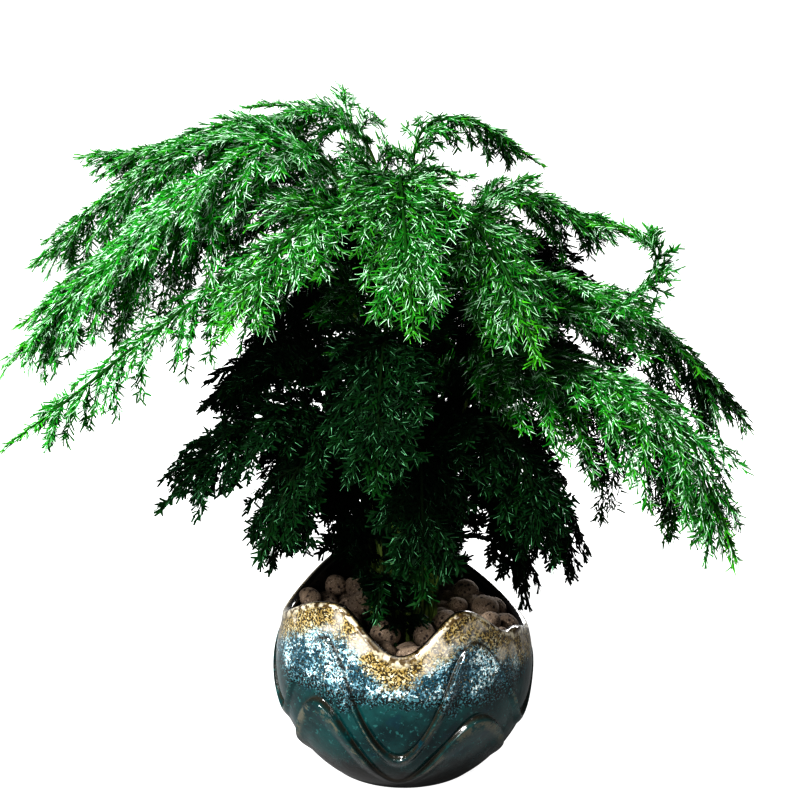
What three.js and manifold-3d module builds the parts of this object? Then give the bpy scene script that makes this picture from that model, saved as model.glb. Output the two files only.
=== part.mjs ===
// Potted lace fern: a round glazed pot with a waved rim, potting soil, fired clay pebbles and
// leafy stems that arch out from one crown. Millimetres, +Z up, origin at the centre of the foot.
// Azimuths are counter-clockwise from +X, seen from above. The front of the plant faces -Y.
import * as THREE from "three";
import { mergeVertices } from "three/addons/utils/BufferGeometryUtils.js";
import Module from "manifold-3d";

// Pot
const POT_SEGMENTS = 44;
const SOIL_SEGMENTS = 22; // every second facet line of the pot
const BODY_RADIUS = 71.5;
const BODY_CENTRE = 57;
const WALL = 5.5;
const FOOT_RADIUS = 41;
const FOOT_ROUND = { radius: 45.8, height: 1.9 };
const NECK_HEIGHT = 78; // above this the wall leans in only a little
const NECK_LEAN = 0.16;
// Crests and troughs of the rim and of the two ridges under it: [azimuth, height].
const RIM = [[5, 76], [104, 109], [170, 85], [235, 110], [268, 87], [299, 107.5], [331, 88]];
const UPPER_RIDGE = [
  [16, 60], [54, 30], [92, 84], [128, 34], [162, 70],
  [196, 36], [231, 90], [267, 29], [303, 89], [340, 33],
];
const LOWER_RIDGE = [
  [16, 38], [54, 11], [92, 52], [128, 12], [162, 44],
  [196, 14], [231, 57], [266, 9], [303, 49], [340, 12],
];
const RIDGE_RISE = 2.8;
const CREASE_DEPTH = 1.1;
const CREASE_OFFSET = 2.6; // how far above its ridge line a crease lies
const SHOULDER = { start: 15, middle: 6.75 }; // how far below its ridge line
const SHOULDER_MIDDLE_RISE = 1.75;
const EASE = 11; // how far above its ridge line the wall is round again
const SHOULDER_ROOM = 0.8; // the largest share of the free height that a shoulder takes
const EASE_ROOM = 0.6;
const SQUEEZED_RISE = 0.35; // a ridge with no free height under it still stands out this share
const BELLY_SHARE = 0.4; // a row this far up from the foot to the lower ridge keeps the belly round
const WAIST_SHARE = 0.6; // the upper ridge's shoulder starts above this share of the way between them
const LIP_ROUND = 1.6;
const LIP_TOP = { outer: 1.4, inner: 3.85, drop: 0.3 }; // the flat of the lip, inwards from the wall
const INNER_FLOOR = 7;
const INNER_FLOOR_RADIUS = 38;
const INNER_LEVELS = [64, 48, 32, 18];

// Filling
const GAP = 0.5; // between the pieces that touch
const SOIL_TOP = 62;
const SOIL_MOUND = { radius: 21, topRadius: 17, height: 67 };
const HOLE_RADIUS = 2;
const HOLE_SIDES = 6;
const HOLE_OVERSHOOT = 1;
const STEM_BURIED = 25;
const STRAIGHT_ABOVE_SOIL = 11;
const BED_BOTTOM = { inner: 22, outer: 64.4, height: SOIL_TOP + GAP };
const BED_TOP = { inner: 25, outer: 62.6, height: 70 };
const BED_SEGMENTS = 16;
const PEBBLE_ROWS = [
  { radius: 56, count: 17, height: 75 },
  { radius: 42.5, count: 13, height: 75 },
  { radius: 30.5, count: 8, height: 74 },
];
const PEBBLE_HALF = { least: 6, most: 9.6 };
const PEBBLE_STRAYS = { azimuth: 0.35, radius: 5, height: 3 }; // the azimuth's as a share of a place
const PEBBLE_SINKS = 0.25; // how much of its extra height a tall pebble lies lower
const PEBBLE_LIMIT = 63.4; // no pebble reaches past this radius
const PEBBLE_SEED = 11;

// Fronds. root is [distance, azimuth] of the stem's foot. line holds [out, up] points of the stem
// in the plane of the frond's azimuth, and swing is how far its tip drifts to the left of that
// plane. bare is the share of the stem with no side spray, and spread the longest side spray.
const FROND_SEED = 41;
const STEM_FOOT_RADIUS = 1.4;
const STEM_TIP_RADIUS = 0.65;
const STEM_CORNERS = [45, 135, 225, 315]; // degrees up from the left of the stem
const FRONDS = [
  { name: "left_bright", azimuth: 192, root: [11, 196], spread: 44, bare: 0.56, pairs: 7, swing: 8,
    line: [[14, 230], [36, 326], [66, 344], [108, 322], [156, 282], [203, 238]] },
  { name: "left_upper", azimuth: 168, root: [12, 166], spread: 44, bare: 0.56, pairs: 6, swing: -12,
    line: [[15, 240], [34, 322], [66, 345], [112, 338], [158, 311], [213, 268]] },
  { name: "crown_left", azimuth: 150, root: [5, 140], spread: 42, bare: 0.59, pairs: 6, swing: 14,
    line: [[7, 250], [14, 322], [36, 353], [86, 351], [152, 333], [204, 325]] },
  { name: "left_lower", azimuth: 207, root: [16, 214], spread: 36, bare: 0.5, pairs: 6, swing: -6,
    line: [[21, 200], [43, 288], [84, 286], [134, 258], [172, 232], [210, 207]] },
  { name: "front_left", azimuth: 236, root: [11, 232], spread: 42, bare: 0.53, pairs: 5, swing: -14,
    line: [[14, 220], [32, 300], [62, 316], [98, 296], [130, 264]] },
  { name: "front", azimuth: 264, root: [5, 262], spread: 42, bare: 0.58, pairs: 5, swing: 16,
    line: [[8, 230], [22, 308], [50, 330], [86, 312], [116, 270]] },
  { name: "front_right", azimuth: 296, root: [11, 290], spread: 42, bare: 0.54, pairs: 5, swing: 12,
    line: [[14, 220], [30, 294], [56, 312], [90, 292], [114, 254]] },
  { name: "right_upper", azimuth: 14, root: [11, 20], spread: 38, bare: 0.54, pairs: 5, swing: -12,
    line: [[14, 220], [26, 292], [52, 316], [88, 306], [124, 290]] },
  { name: "crown_right", azimuth: 44, root: [5, 36], spread: 22, bare: 0.58, pairs: 4, swing: -12,
    line: [[6, 240], [4, 312], [12, 347], [34, 353], [60, 344], [90, 326]] },
  { name: "back", azimuth: 98, root: [6, 92], spread: 42, bare: 0.56, pairs: 5, swing: 18,
    line: [[9, 220], [24, 298], [52, 318], [92, 300], [132, 254]] },
  { name: "climbing", azimuth: 338, root: [6, 330], spread: 12, bare: 0.56, pairs: 6, swing: 0,
    line: [[22, 170], [56, 246], [84, 262], [108, 263], [126, 277], [132, 292], [121, 304], [101, 306]] },
  { name: "right_long", azimuth: 357, root: [15, 358], spread: 48, bare: 0.46, pairs: 5, swing: 10,
    line: [[19, 180], [36, 240], [58, 271], [88, 271], [130, 249], [181, 199]] },
  { name: "right_drooping", azimuth: 327, root: [15, 320], spread: 46, bare: 0.42, pairs: 6, swing: -8,
    line: [[20, 160], [46, 234], [90, 240], [132, 232], [162, 214], [178, 186], [190, 160]] },
  { name: "back_right", azimuth: 50, root: [13, 60], spread: 42, bare: 0.48, pairs: 5, swing: -16,
    line: [[17, 180], [38, 236], [72, 248], [112, 222], [146, 178]] },
  { name: "back_left", azimuth: 124, root: [13, 126], spread: 42, bare: 0.48, pairs: 5, swing: 10,
    line: [[17, 180], [38, 254], [74, 262], [114, 236], [146, 190]] },
  { name: "right_inner", azimuth: 26, root: [16.5, 38], spread: 42, bare: 0.46, pairs: 5, swing: 8,
    line: [[20, 150], [28, 230], [46, 272], [74, 284], [102, 268], [126, 238]] },
  { name: "left_inner", azimuth: 178, root: [17, 178], spread: 48, bare: 0.44, pairs: 5, swing: -8,
    line: [[20, 160], [40, 224], [70, 231], [108, 200]] },
  { name: "right_hanging", azimuth: 12, root: [17, 12], spread: 44, bare: 0.42, pairs: 4, swing: 10,
    line: [[20, 130], [36, 188], [58, 186], [82, 146], [98, 95]] },
  { name: "left_spreading", azimuth: 203, root: [18, 196], spread: 44, bare: 0.44, pairs: 4, swing: 6,
    line: [[22, 140], [42, 200], [74, 206], [108, 190], [134, 167]] },
  { name: "left_hanging", azimuth: 148, root: [17, 148], spread: 40, bare: 0.42, pairs: 4, swing: -8,
    line: [[21, 130], [38, 180], [62, 182], [92, 134]] },
  { name: "front_low", azimuth: 280, root: [17, 276], spread: 36, bare: 0.5, pairs: 4, swing: -8,
    line: [[20, 140], [34, 196], [60, 200], [84, 172], [96, 134]] },
  { name: "base", azimuth: 250, root: [16, 250], spread: 26, bare: 0.44, pairs: 3, swing: 5,
    line: [[18, 88], [25, 110], [40, 118], [56, 104]] },
  { name: "left_middle", azimuth: 180, root: [5.5, 200], spread: 42, bare: 0.54, pairs: 6, swing: 4,
    line: [[8, 220], [16, 280], [36, 312], [66, 318], [108, 308], [158, 282], [200, 248]] },
  { name: "front_middle", azimuth: 258, root: [10.5, 262], spread: 42, bare: 0.46, pairs: 5, swing: 10,
    line: [[17, 170], [34, 240], [60, 252], [90, 228], [110, 192]] },
  { name: "front_left_low", azimuth: 226, root: [17.5, 232], spread: 40, bare: 0.42, pairs: 4, swing: -6,
    line: [[20, 140], [34, 192], [56, 198], [80, 176], [98, 142]] },
  { name: "front_right_low", azimuth: 310, root: [17.5, 298], spread: 42, bare: 0.42, pairs: 4, swing: 8,
    line: [[20, 140], [38, 202], [64, 206], [90, 182], [106, 146]] },
  { name: "right_low", azimuth: 345, root: [18, 339], spread: 42, bare: 0.42, pairs: 4, swing: -6,
    line: [[20, 120], [30, 162], [48, 162], [62, 136], [70, 100]] },
  { name: "left_low", azimuth: 164, root: [18, 163], spread: 36, bare: 0.42, pairs: 4, swing: 6,
    line: [[21, 120], [40, 164], [56, 162], [70, 134], [76, 104]] },
  { name: "right_middle", azimuth: 352, root: [11, 342], spread: 40, bare: 0.45, pairs: 5, swing: -4,
    line: [[13, 150], [18, 188], [32, 218], [54, 233], [90, 226], [130, 192], [162, 148]] },
];

// Side sprays, twigs and needles
const TWIN_RINGS = 1.3; // half the distance between the two rings that a side spray grows from
const RING_SAG = 0.8; // how far a straight piece of a stem may leave its curve
const RING_MARGIN = 3.5;
const ANGLE_LOW = 56; // of the lowest spray to its stem, degrees
const ANGLE_HIGH = 36;
const ANGLE_VARIES = 7;
const CLOSER_OUTWARD = 0.84; // under 1, the sprays stand closer together towards the tip
const LAST_PAIR_SHORT = 0.9; // how far short of the terminal the last pair stands, in pairs
const TILT_VARIES = 18;
const HANGING_TILT = -70; // of the sprays that hang under the stem
const HANGING_VARIES = 10;
const HANGING_BENDS = [0, -10, -22];
const HANGING_SHARE = 0.85; // their length against that of the other sprays
const HANGING_EVERY = 2; // pairs
const SHORTEST_SPRAY = 14;
const LENGTH_LEAST = 0.88; // of the length that the place on the blade gives
const LENGTH_MOST = 1.1;
const LOWEST_SPREAD = 0.72; // the lowest sprays' share of the longest ones
const WIDEST_AT = 0.25; // share of the blade
const SPREAD_LOST = 0.6; // how much shorter the last sprays are
const SPREAD_FALL = 1.4;
const DROOP_LEAST = 0.15;
const DROOP_MOST = 0.5;
const SPRAY_CLEARANCE = 3.4;
const SPRAY_BENDS = [0, 15, -10, 30];
const SPRAY_LENGTHS = [1, 0.72, 0.5];
const CORE_RADIUS = 0.75;
const CORE_TIP_RADIUS = 0.45;
const CORE_START = 5.5;
const CORE_STEP = 13.4;
const TIP_LENGTH = 5.5;
const END_SHARE = 0.3; // the largest share of a short spray that its start and its tip each take
const CORE_SIDES = [90, 210, 330]; // degrees up from the right
const TANGENT_STEP = 0.02;
const TWIG_LENGTH = 12.5;
const TWIG_TIP_SHARE = 0.5;
const TWIGS_FULL_TO = 0.2; // share of the spray
const TWIG_SWEEP = 48;
const TWIG_TURNS = { left: 184, right: -4 }; // degrees up from the right of the spray
const NEEDLE_TURNS = { left: 118, right: 62, down: 270 };
const SPIKE_LENGTHS = [1, 0.62]; // tried in turn
const NEEDLE_LENGTH = 5.8;
const NEEDLE_SWEEP = 44;
const NEEDLE_CLEARANCE = 2;
const SAMPLE_STEP = 1.6;
const STEM_SAMPLES = 4; // the first samples of a spray lie against its own stem
const TERMINAL_LENGTH = 32; // the end of a stem, which carries its needles itself

// Colours and roughness
const LOOKS = {
  glaze: { color: 0x1d5a66, roughness: 0.18 },
  soil: { color: 0x2b1f17, roughness: 0.95 },
  clay: { color: 0x7d5a4c, roughness: 0.9 },
  brightLeaf: { color: 0x3f9a48, roughness: 0.6 },
  shadedLeaf: { color: 0x1f5a2c, roughness: 0.6 },
};
const SHADED_FRONDS = [
  "right_inner", "left_inner", "right_hanging", "left_hanging", "left_spreading",
  "front_low", "base", "back_left", "back_right", "front_middle",
  "front_left_low", "front_right_low", "right_low", "left_low",
];

const UP = new THREE.Vector3(0, 0, 1);
const wasm = await Module();
wasm.setup();

const radians = THREE.MathUtils.degToRad;
const mix = THREE.MathUtils.lerp;
const smooth = THREE.MathUtils.smoothstep;

// Seeded draws from 0 to 1, the same on every run.
function seededDraw(seed) {
  let state = seed >>> 0;
  return () => {
    state = (state + 0x6d2b79f5) >>> 0;
    let mixed = Math.imul(state ^ (state >>> 15), state | 1);
    mixed ^= mixed + Math.imul(mixed ^ (mixed >>> 7), mixed | 61);
    return ((mixed ^ (mixed >>> 14)) >>> 0) / 4294967296;
  };
}

// A closed surface's points and triangles, which branches can grow out of.
class Skin {
  constructor() {
    this.points = [];
    this.faces = [];
  }

  point(position) {
    this.points.push(position.clone());
    return this.points.length - 1;
  }

  face(a, b, c) {
    this.faces.push([a, b, c]);
    return this.faces.length - 1;
  }

  // Three triangles to one new point in place of a triangle: a spike.
  spike([a, b, c], tip) {
    const apex = this.point(tip);
    this.face(a, b, apex);
    this.face(b, c, apex);
    this.face(c, a, apex);
  }

  geometry() {
    const geometry = new THREE.BufferGeometry();
    const numbers = this.points.flatMap((point) => point.toArray());
    geometry.setAttribute("position", new THREE.Float32BufferAttribute(numbers, 3));
    geometry.setIndex(this.faces.flat());
    return geometry;
  }
}

function solidOf(geometry) {
  const bare = geometry.clone();
  bare.deleteAttribute("normal");
  bare.deleteAttribute("uv");
  const merged = mergeVertices(bare, 1e-4);
  return new wasm.Manifold(
    new wasm.Mesh({
      numProp: 3,
      vertProperties: merged.attributes.position.array,
      triVerts: new Uint32Array(merged.index.array),
    }),
  );
}

function geometryOf(solid) {
  const mesh = solid.getMesh();
  const geometry = new THREE.BufferGeometry();
  geometry.setAttribute("position", new THREE.BufferAttribute(mesh.vertProperties, 3));
  geometry.setIndex(new THREE.BufferAttribute(mesh.triVerts, 1));
  return geometry;
}

// A turned surface from rows of rings, closed by one point on the axis at each end. Each row is
// a function of the azimuth in degrees that gives [radius, height].
function turnedSkin(segments, startHeight, rows, endHeight) {
  const skin = new Skin();
  const start = skin.point(new THREE.Vector3(0, 0, startHeight));
  const rings = rows.map((row) =>
    Array.from({ length: segments }, (_, i) => {
      const azimuth = (360 * i) / segments;
      const [radius, height] = row(azimuth);
      const angle = radians(azimuth);
      return skin.point(new THREE.Vector3(radius * Math.cos(angle), radius * Math.sin(angle), height));
    }),
  );
  const end = skin.point(new THREE.Vector3(0, 0, endHeight));
  const last = rings[rings.length - 1];
  for (let i = 0; i < segments; i++) {
    const next = (i + 1) % segments;
    skin.face(start, rings[0][next], rings[0][i]);
    skin.face(end, last[i], last[next]);
    for (let row = 0; row + 1 < rings.length; row++) {
      const [low, high] = [rings[row], rings[row + 1]];
      skin.face(low[i], low[next], high[next]);
      skin.face(low[i], high[next], high[i]);
    }
  }
  return skin;
}

// The height of a waved line round the pot, eased from each crest to the next trough.
function waveHeight(line, azimuth) {
  const after = line.findIndex(([turn]) => turn > azimuth);
  const next = after < 0 ? 0 : after;
  const last = (next + line.length - 1) % line.length;
  const width = (line[next][0] - line[last][0] + 360) % 360;
  const share = ((azimuth - line[last][0] + 360) % 360) / width;
  return mix(line[last][1], line[next][1], (1 - Math.cos(Math.PI * share)) / 2);
}

function bodyRadius(height) {
  const round = Math.min(height, NECK_HEIGHT);
  const radius = Math.sqrt(BODY_RADIUS ** 2 - (round - BODY_CENTRE) ** 2);
  return radius - NECK_LEAN * Math.max(0, height - NECK_HEIGHT);
}

const innerRadius = (height) => bodyRadius(height) - WALL;

// Rows of one ridge: the shoulder's start, its middle, the ridge line, the crease and the wall again.
function ridgeRows(line, floorHeight, ceilingHeight) {
  const row = (offset, proud) => (azimuth) => {
    const ridge = waveHeight(line, azimuth);
    const floor = floorHeight(azimuth);
    const ceiling = ceilingHeight(azimuth);
    const below = Math.min(1, (SHOULDER_ROOM * (ridge - floor)) / SHOULDER.start);
    const above = Math.min(1, (EASE_ROOM * (ceiling - ridge)) / EASE);
    const height = ridge + offset * (offset < 0 ? below : above);
    return [bodyRadius(height) + proud * Math.min(1, below + SQUEEZED_RISE), height];
  };
  return [
    row(-SHOULDER.start, 0),
    row(-SHOULDER.middle, SHOULDER_MIDDLE_RISE),
    row(0, RIDGE_RISE),
    row(CREASE_OFFSET, -CREASE_DEPTH),
    row(EASE, 0),
  ];
}

function potSkin() {
  const rim = (azimuth) => waveHeight(RIM, azimuth);
  const upper = (azimuth) => waveHeight(UPPER_RIDGE, azimuth);
  const lower = (azimuth) => waveHeight(LOWER_RIDGE, azimuth);
  const belly = (azimuth) => mix(FOOT_ROUND.height, lower(azimuth), BELLY_SHARE);
  const waist = (azimuth) => mix(lower(azimuth), upper(azimuth), WAIST_SHARE);
  const lipStart = (azimuth) => rim(azimuth) - LIP_ROUND;
  const onBody = (heightAt) => (azimuth) => [bodyRadius(heightAt(azimuth)), heightAt(azimuth)];
  const rows = [
    () => [FOOT_RADIUS, 0],
    () => [FOOT_ROUND.radius, FOOT_ROUND.height],
    onBody(belly),
    ...ridgeRows(LOWER_RIDGE, belly, upper),
    ...ridgeRows(UPPER_RIDGE, waist, lipStart),
    onBody(lipStart),
    (azimuth) => [bodyRadius(rim(azimuth)) - LIP_TOP.outer, rim(azimuth)],
    (azimuth) => [bodyRadius(rim(azimuth)) - LIP_TOP.inner, rim(azimuth) - LIP_TOP.drop],
    (azimuth) => [innerRadius(lipStart(azimuth) - LIP_ROUND), lipStart(azimuth) - LIP_ROUND],
    ...INNER_LEVELS.map((height) => () => [innerRadius(height), height]),
    () => [INNER_FLOOR_RADIUS, INNER_FLOOR],
  ];
  return turnedSkin(POT_SEGMENTS, 0, rows, INNER_FLOOR);
}

function rootPoint(frond, height) {
  const [distance, azimuth] = frond.root;
  const angle = radians(azimuth);
  return new THREE.Vector3(distance * Math.cos(angle), distance * Math.sin(angle), height);
}

const stemFootHeight = SOIL_TOP - STEM_BURIED;

// Soil fills the pot below the pebbles, with a low mound at the crown and a hole for each stem.
function soilGeometry() {
  const levels = INNER_LEVELS.filter((height) => height < SOIL_TOP).reverse();
  const rows = [
    () => [INNER_FLOOR_RADIUS - GAP, INNER_FLOOR + GAP],
    ...levels.map((height) => () => [innerRadius(height) - GAP, height]),
    () => [innerRadius(INNER_LEVELS[0]) - 2 * GAP, SOIL_TOP],
    () => [SOIL_MOUND.radius, SOIL_TOP],
    () => [SOIL_MOUND.topRadius, SOIL_MOUND.height],
  ];
  const filling = turnedSkin(SOIL_SEGMENTS, INNER_FLOOR + GAP, rows, SOIL_MOUND.height);
  let soil = solidOf(filling.geometry());
  const bottom = stemFootHeight - GAP;
  const depth = SOIL_MOUND.height + HOLE_OVERSHOOT - bottom;
  for (const frond of FRONDS) {
    const hole = new THREE.CylinderGeometry(HOLE_RADIUS, HOLE_RADIUS, depth, HOLE_SIDES);
    hole.rotateX(Math.PI / 2);
    const centre = rootPoint(frond, bottom + depth / 2);
    hole.translate(centre.x, centre.y, centre.z);
    soil = soil.subtract(solidOf(hole));
  }
  return geometryOf(soil);
}

// The pebbles lie on each other in rows round the crown and share one bed under them.
function pebbleGeometry() {
  const draw = seededDraw(PEBBLE_SEED);
  const profile = [
    [BED_BOTTOM.inner, BED_BOTTOM.height],
    [BED_BOTTOM.outer, BED_BOTTOM.height],
    [BED_TOP.outer, BED_TOP.height],
    [BED_TOP.inner, BED_TOP.height],
    [BED_BOTTOM.inner, BED_BOTTOM.height],
  ];
  const bedPoints = profile.map(([radius, height]) => new THREE.Vector2(radius, height));
  const bed = new THREE.LatheGeometry(bedPoints, BED_SEGMENTS);
  bed.rotateX(Math.PI / 2);
  const solids = [solidOf(bed)];
  for (const row of PEBBLE_ROWS) {
    for (let i = 0; i < row.count; i++) {
      const half = [0, 1, 2].map(() => mix(PEBBLE_HALF.least, PEBBLE_HALF.most, draw()));
      const stray = (most) => most * (draw() - 0.5);
      const azimuth = (2 * Math.PI * (i + stray(PEBBLE_STRAYS.azimuth))) / row.count;
      const radius = Math.min(row.radius + stray(PEBBLE_STRAYS.radius), PEBBLE_LIMIT - Math.max(...half));
      const sunk = PEBBLE_SINKS * (half[2] - PEBBLE_HALF.least);
      const height = row.height + stray(PEBBLE_STRAYS.height) - sunk;
      const pebble = new THREE.IcosahedronGeometry(1, 0);
      pebble.scale(...half);
      pebble.rotateX(2 * Math.PI * draw());
      pebble.rotateZ(2 * Math.PI * draw());
      pebble.translate(radius * Math.cos(azimuth), radius * Math.sin(azimuth), height);
      solids.push(solidOf(pebble));
    }
  }
  return geometryOf(wasm.Manifold.union(solids));
}

// A smooth curve that can be read at any share of its length.
function smoothCurve(points) {
  const curve = new THREE.CatmullRomCurve3(points, false, "centripetal");
  const length = curve.getLength();
  return {
    length,
    point: (share) => curve.getPointAt(THREE.MathUtils.clamp(share, 0, 1)),
    tangent: (share) => curve.getTangentAt(THREE.MathUtils.clamp(share, 0, 1)),
  };
}

function stemCurve(frond) {
  const angle = radians(frond.azimuth);
  const outward = new THREE.Vector3(Math.cos(angle), Math.sin(angle), 0);
  const left = new THREE.Vector3(-Math.sin(angle), Math.cos(angle), 0);
  const reach = frond.line[frond.line.length - 1][0];
  const along = frond.line.map(([out, up]) =>
    new THREE.Vector3(0, 0, up)
      .addScaledVector(outward, out)
      .addScaledVector(left, frond.swing * (out / reach) ** 2),
  );
  return smoothCurve([
    rootPoint(frond, stemFootHeight),
    rootPoint(frond, SOIL_TOP),
    rootPoint(frond, SOIL_TOP + STRAIGHT_ABOVE_SOIL),
    ...along,
  ]);
}

// The directions at a share of a stem: along it, to its left, and up out of its blade.
function stemFrame(curve, frond, share) {
  const along = curve.tangent(share);
  const angle = radians(frond.azimuth);
  const left = new THREE.Vector3(-Math.sin(angle), Math.cos(angle), 0);
  left.addScaledVector(along, -left.dot(along)).normalize();
  const above = new THREE.Vector3().crossVectors(along, left);
  return { along, left, above };
}

const stemRadius = (share) => mix(STEM_FOOT_RADIUS, STEM_TIP_RADIUS, share);

// A side spray's middle line: straight out at its angle, then drooping.
function sprayPoint(spray, share) {
  const reach = spray.length * share;
  return spray.start
    .clone()
    .addScaledVector(spray.direction, reach)
    .addScaledVector(UP, -spray.droop * reach * share);
}

// How long the sprays are along the blade: shorter at its foot and again towards its tip.
function spreadShape(share) {
  const growing = mix(LOWEST_SPREAD, 1, smooth(share, 0, WIDEST_AT));
  return growing * (1 - SPREAD_LOST * Math.pow(share, SPREAD_FALL));
}

// The sprays of one pair: to the left, to the right and, in some pairs, one that hangs under the stem.
function pairRows(pair) {
  const toSides = { lean: 0, varies: TILT_VARIES, share: 1, bends: SPRAY_BENDS };
  const hanging = { lean: HANGING_TILT, varies: HANGING_VARIES, share: HANGING_SHARE, bends: HANGING_BENDS };
  const rows = [
    { row: "left", side: 1, ...toSides },
    { row: "right", side: -1, ...toSides },
  ];
  const side = pair % (2 * HANGING_EVERY) === 0 ? 1 : -1;
  if (pair % HANGING_EVERY === 0) rows.push({ row: "under", side, ...hanging });
  return rows;
}

function plannedSprays(frond, curve, draw) {
  const sprays = [];
  const bladeEnd = 1 - TERMINAL_LENGTH / curve.length;
  for (let i = 0; i < frond.pairs; i++) {
    const across = i / frond.pairs;
    const station = mix(frond.bare, bladeEnd, Math.pow(i / (frond.pairs - LAST_PAIR_SHORT), CLOSER_OUTWARD));
    const frame = stemFrame(curve, frond, station);
    for (const { row, side, lean, varies, share, bends } of pairRows(i)) {
      const angle = mix(ANGLE_LOW, ANGLE_HIGH, across) + ANGLE_VARIES * (2 * draw() - 1);
      const tilt = lean + varies * (2 * draw() - 1);
      const length = Math.max(
        share * frond.spread * spreadShape(across) * mix(LENGTH_LEAST, LENGTH_MOST, draw()),
        Math.min(SHORTEST_SPRAY, frond.spread),
      );
      const droop = mix(DROOP_LEAST, DROOP_MOST, draw());
      const upward = row === "under" ? frame.along : frame.above;
      sprays.push({ station, frame, upward, row, side, bends, angle, tilt, length, droop });
    }
  }
  return sprays;
}

function setDirection(spray, curve, bend) {
  const { along, left, above } = spray.frame;
  const angle = radians(spray.angle);
  const tilt = radians(spray.tilt + bend);
  spray.leansLeft = spray.side * Math.cos(tilt) > 0;
  spray.start = curve.point(spray.station);
  spray.direction = new THREE.Vector3()
    .addScaledVector(along, Math.cos(angle))
    .addScaledVector(left, spray.side * Math.sin(angle) * Math.cos(tilt))
    .addScaledVector(above, Math.sin(angle) * Math.sin(tilt))
    .normalize();
}

// Points kept in cubes of space, to find what lies near a place.
class NearPoints {
  constructor(cell) {
    this.cell = cell;
    this.cubes = new Map();
  }

  add(point, owner) {
    const key = this.key(point, 0, 0, 0);
    if (!this.cubes.has(key)) this.cubes.set(key, []);
    this.cubes.get(key).push([point, owner]);
  }

  key(point, dx, dy, dz) {
    const cube = [point.x, point.y, point.z].map((value) => Math.floor(value / this.cell));
    return `${cube[0] + dx},${cube[1] + dy},${cube[2] + dz}`;
  }

  // Whether a point of another owner lies within the distance, which is at most one cube's side.
  taken(point, distance, mine) {
    for (const dx of [-1, 0, 1])
      for (const dy of [-1, 0, 1])
        for (const dz of [-1, 0, 1]) {
          const near = this.cubes.get(this.key(point, dx, dy, dz)) ?? [];
          const close = ([other, owner]) => !mine(owner) && other.distanceTo(point) < distance;
          if (near.some(close)) return true;
        }
    return false;
  }
}

function linePoints(from, to, step) {
  const count = Math.max(1, Math.ceil(from.distanceTo(to) / step));
  return Array.from({ length: count + 1 }, (_, i) => from.clone().lerp(to, i / count));
}

// Bends or shortens each spray until it is clear of every other stem and spray, or leaves it out.
function settleSprays(fronds) {
  const cores = new NearPoints(SPRAY_CLEARANCE);
  for (const { frond, curve } of fronds) {
    const count = Math.ceil(curve.length / SAMPLE_STEP);
    for (let i = 0; i <= count; i++) cores.add(curve.point(i / count), frond.name);
  }
  for (const { frond, curve, sprays, kept } of fronds) {
    for (const spray of sprays) {
      const fullLength = spray.length;
      for (const share of SPRAY_LENGTHS) {
        const fits = spray.bends.some((bend) => {
          setDirection(spray, curve, bend);
          spray.length = Math.max(fullLength * share, Math.min(SHORTEST_SPRAY, fullLength));
          const beyondStem = spraySamples(spray).slice(STEM_SAMPLES);
          return !beyondStem.some((point) => cores.taken(point, SPRAY_CLEARANCE, () => false));
        });
        if (!fits) continue;
        spraySamples(spray).forEach((point) => cores.add(point, frond.name));
        kept.push(spray);
        break;
      }
    }
  }
}

function spraySamples(spray) {
  const count = Math.ceil(spray.length / SAMPLE_STEP);
  return Array.from({ length: count + 1 }, (_, i) => sprayPoint(spray, i / count));
}

// Grows a three-sided core out of a triangle, given as [ridge, next, last], along a line of
// points. Twigs go out to both sides of it and needles above and below.
function growCore(skin, base, linePoint, length, above, owner, near) {
  const start = Math.min(CORE_START, END_SHARE * length);
  const tipLength = Math.min(TIP_LENGTH, END_SHARE * length);
  const steps = Math.max(1, Math.round((length - start - tipLength) / CORE_STEP));
  const step = (length - start - tipLength) / steps;
  let ring = base;
  let frame = null;
  for (let i = 0; i <= steps; i++) {
    const share = (start + i * step) / length;
    const centre = linePoint(share);
    const along = linePoint(share + TANGENT_STEP).sub(linePoint(share - TANGENT_STEP)).normalize();
    const up = above.clone().addScaledVector(along, -above.dot(along)).normalize();
    const across = new THREE.Vector3().crossVectors(up, along);
    const outward = (degrees) =>
      new THREE.Vector3()
        .addScaledVector(across, Math.cos(radians(degrees)))
        .addScaledVector(up, Math.sin(radians(degrees)));
    const radius = mix(CORE_RADIUS, CORE_TIP_RADIUS, share);
    const next = CORE_SIDES.map((degrees) =>
      skin.point(centre.clone().addScaledVector(outward(degrees), radius)),
    );
    const here = { centre, along, outward };
    if (i === 0) plainSleeve(skin, ring, next);
    else needledSleeve(skin, ring, next, frame, here, i, twigShare(share), owner, near);
    ring = next;
    frame = here;
  }
  const tip = skin.point(linePoint(1));
  for (let k = 0; k < 3; k++) skin.face(ring[k], ring[(k + 1) % 3], tip);
}

// Twigs are longest on the lower half of a spray and shorten towards its tip.
const twigShare = (share) => mix(1, TWIG_TIP_SHARE, smooth(share, TWIGS_FULL_TO, 1));

function plainSleeve(skin, low, high) {
  for (let k = 0; k < 3; k++) {
    const next = (k + 1) % 3;
    skin.face(low[k], low[next], high[next]);
    skin.face(low[k], high[next], high[k]);
  }
}

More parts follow.
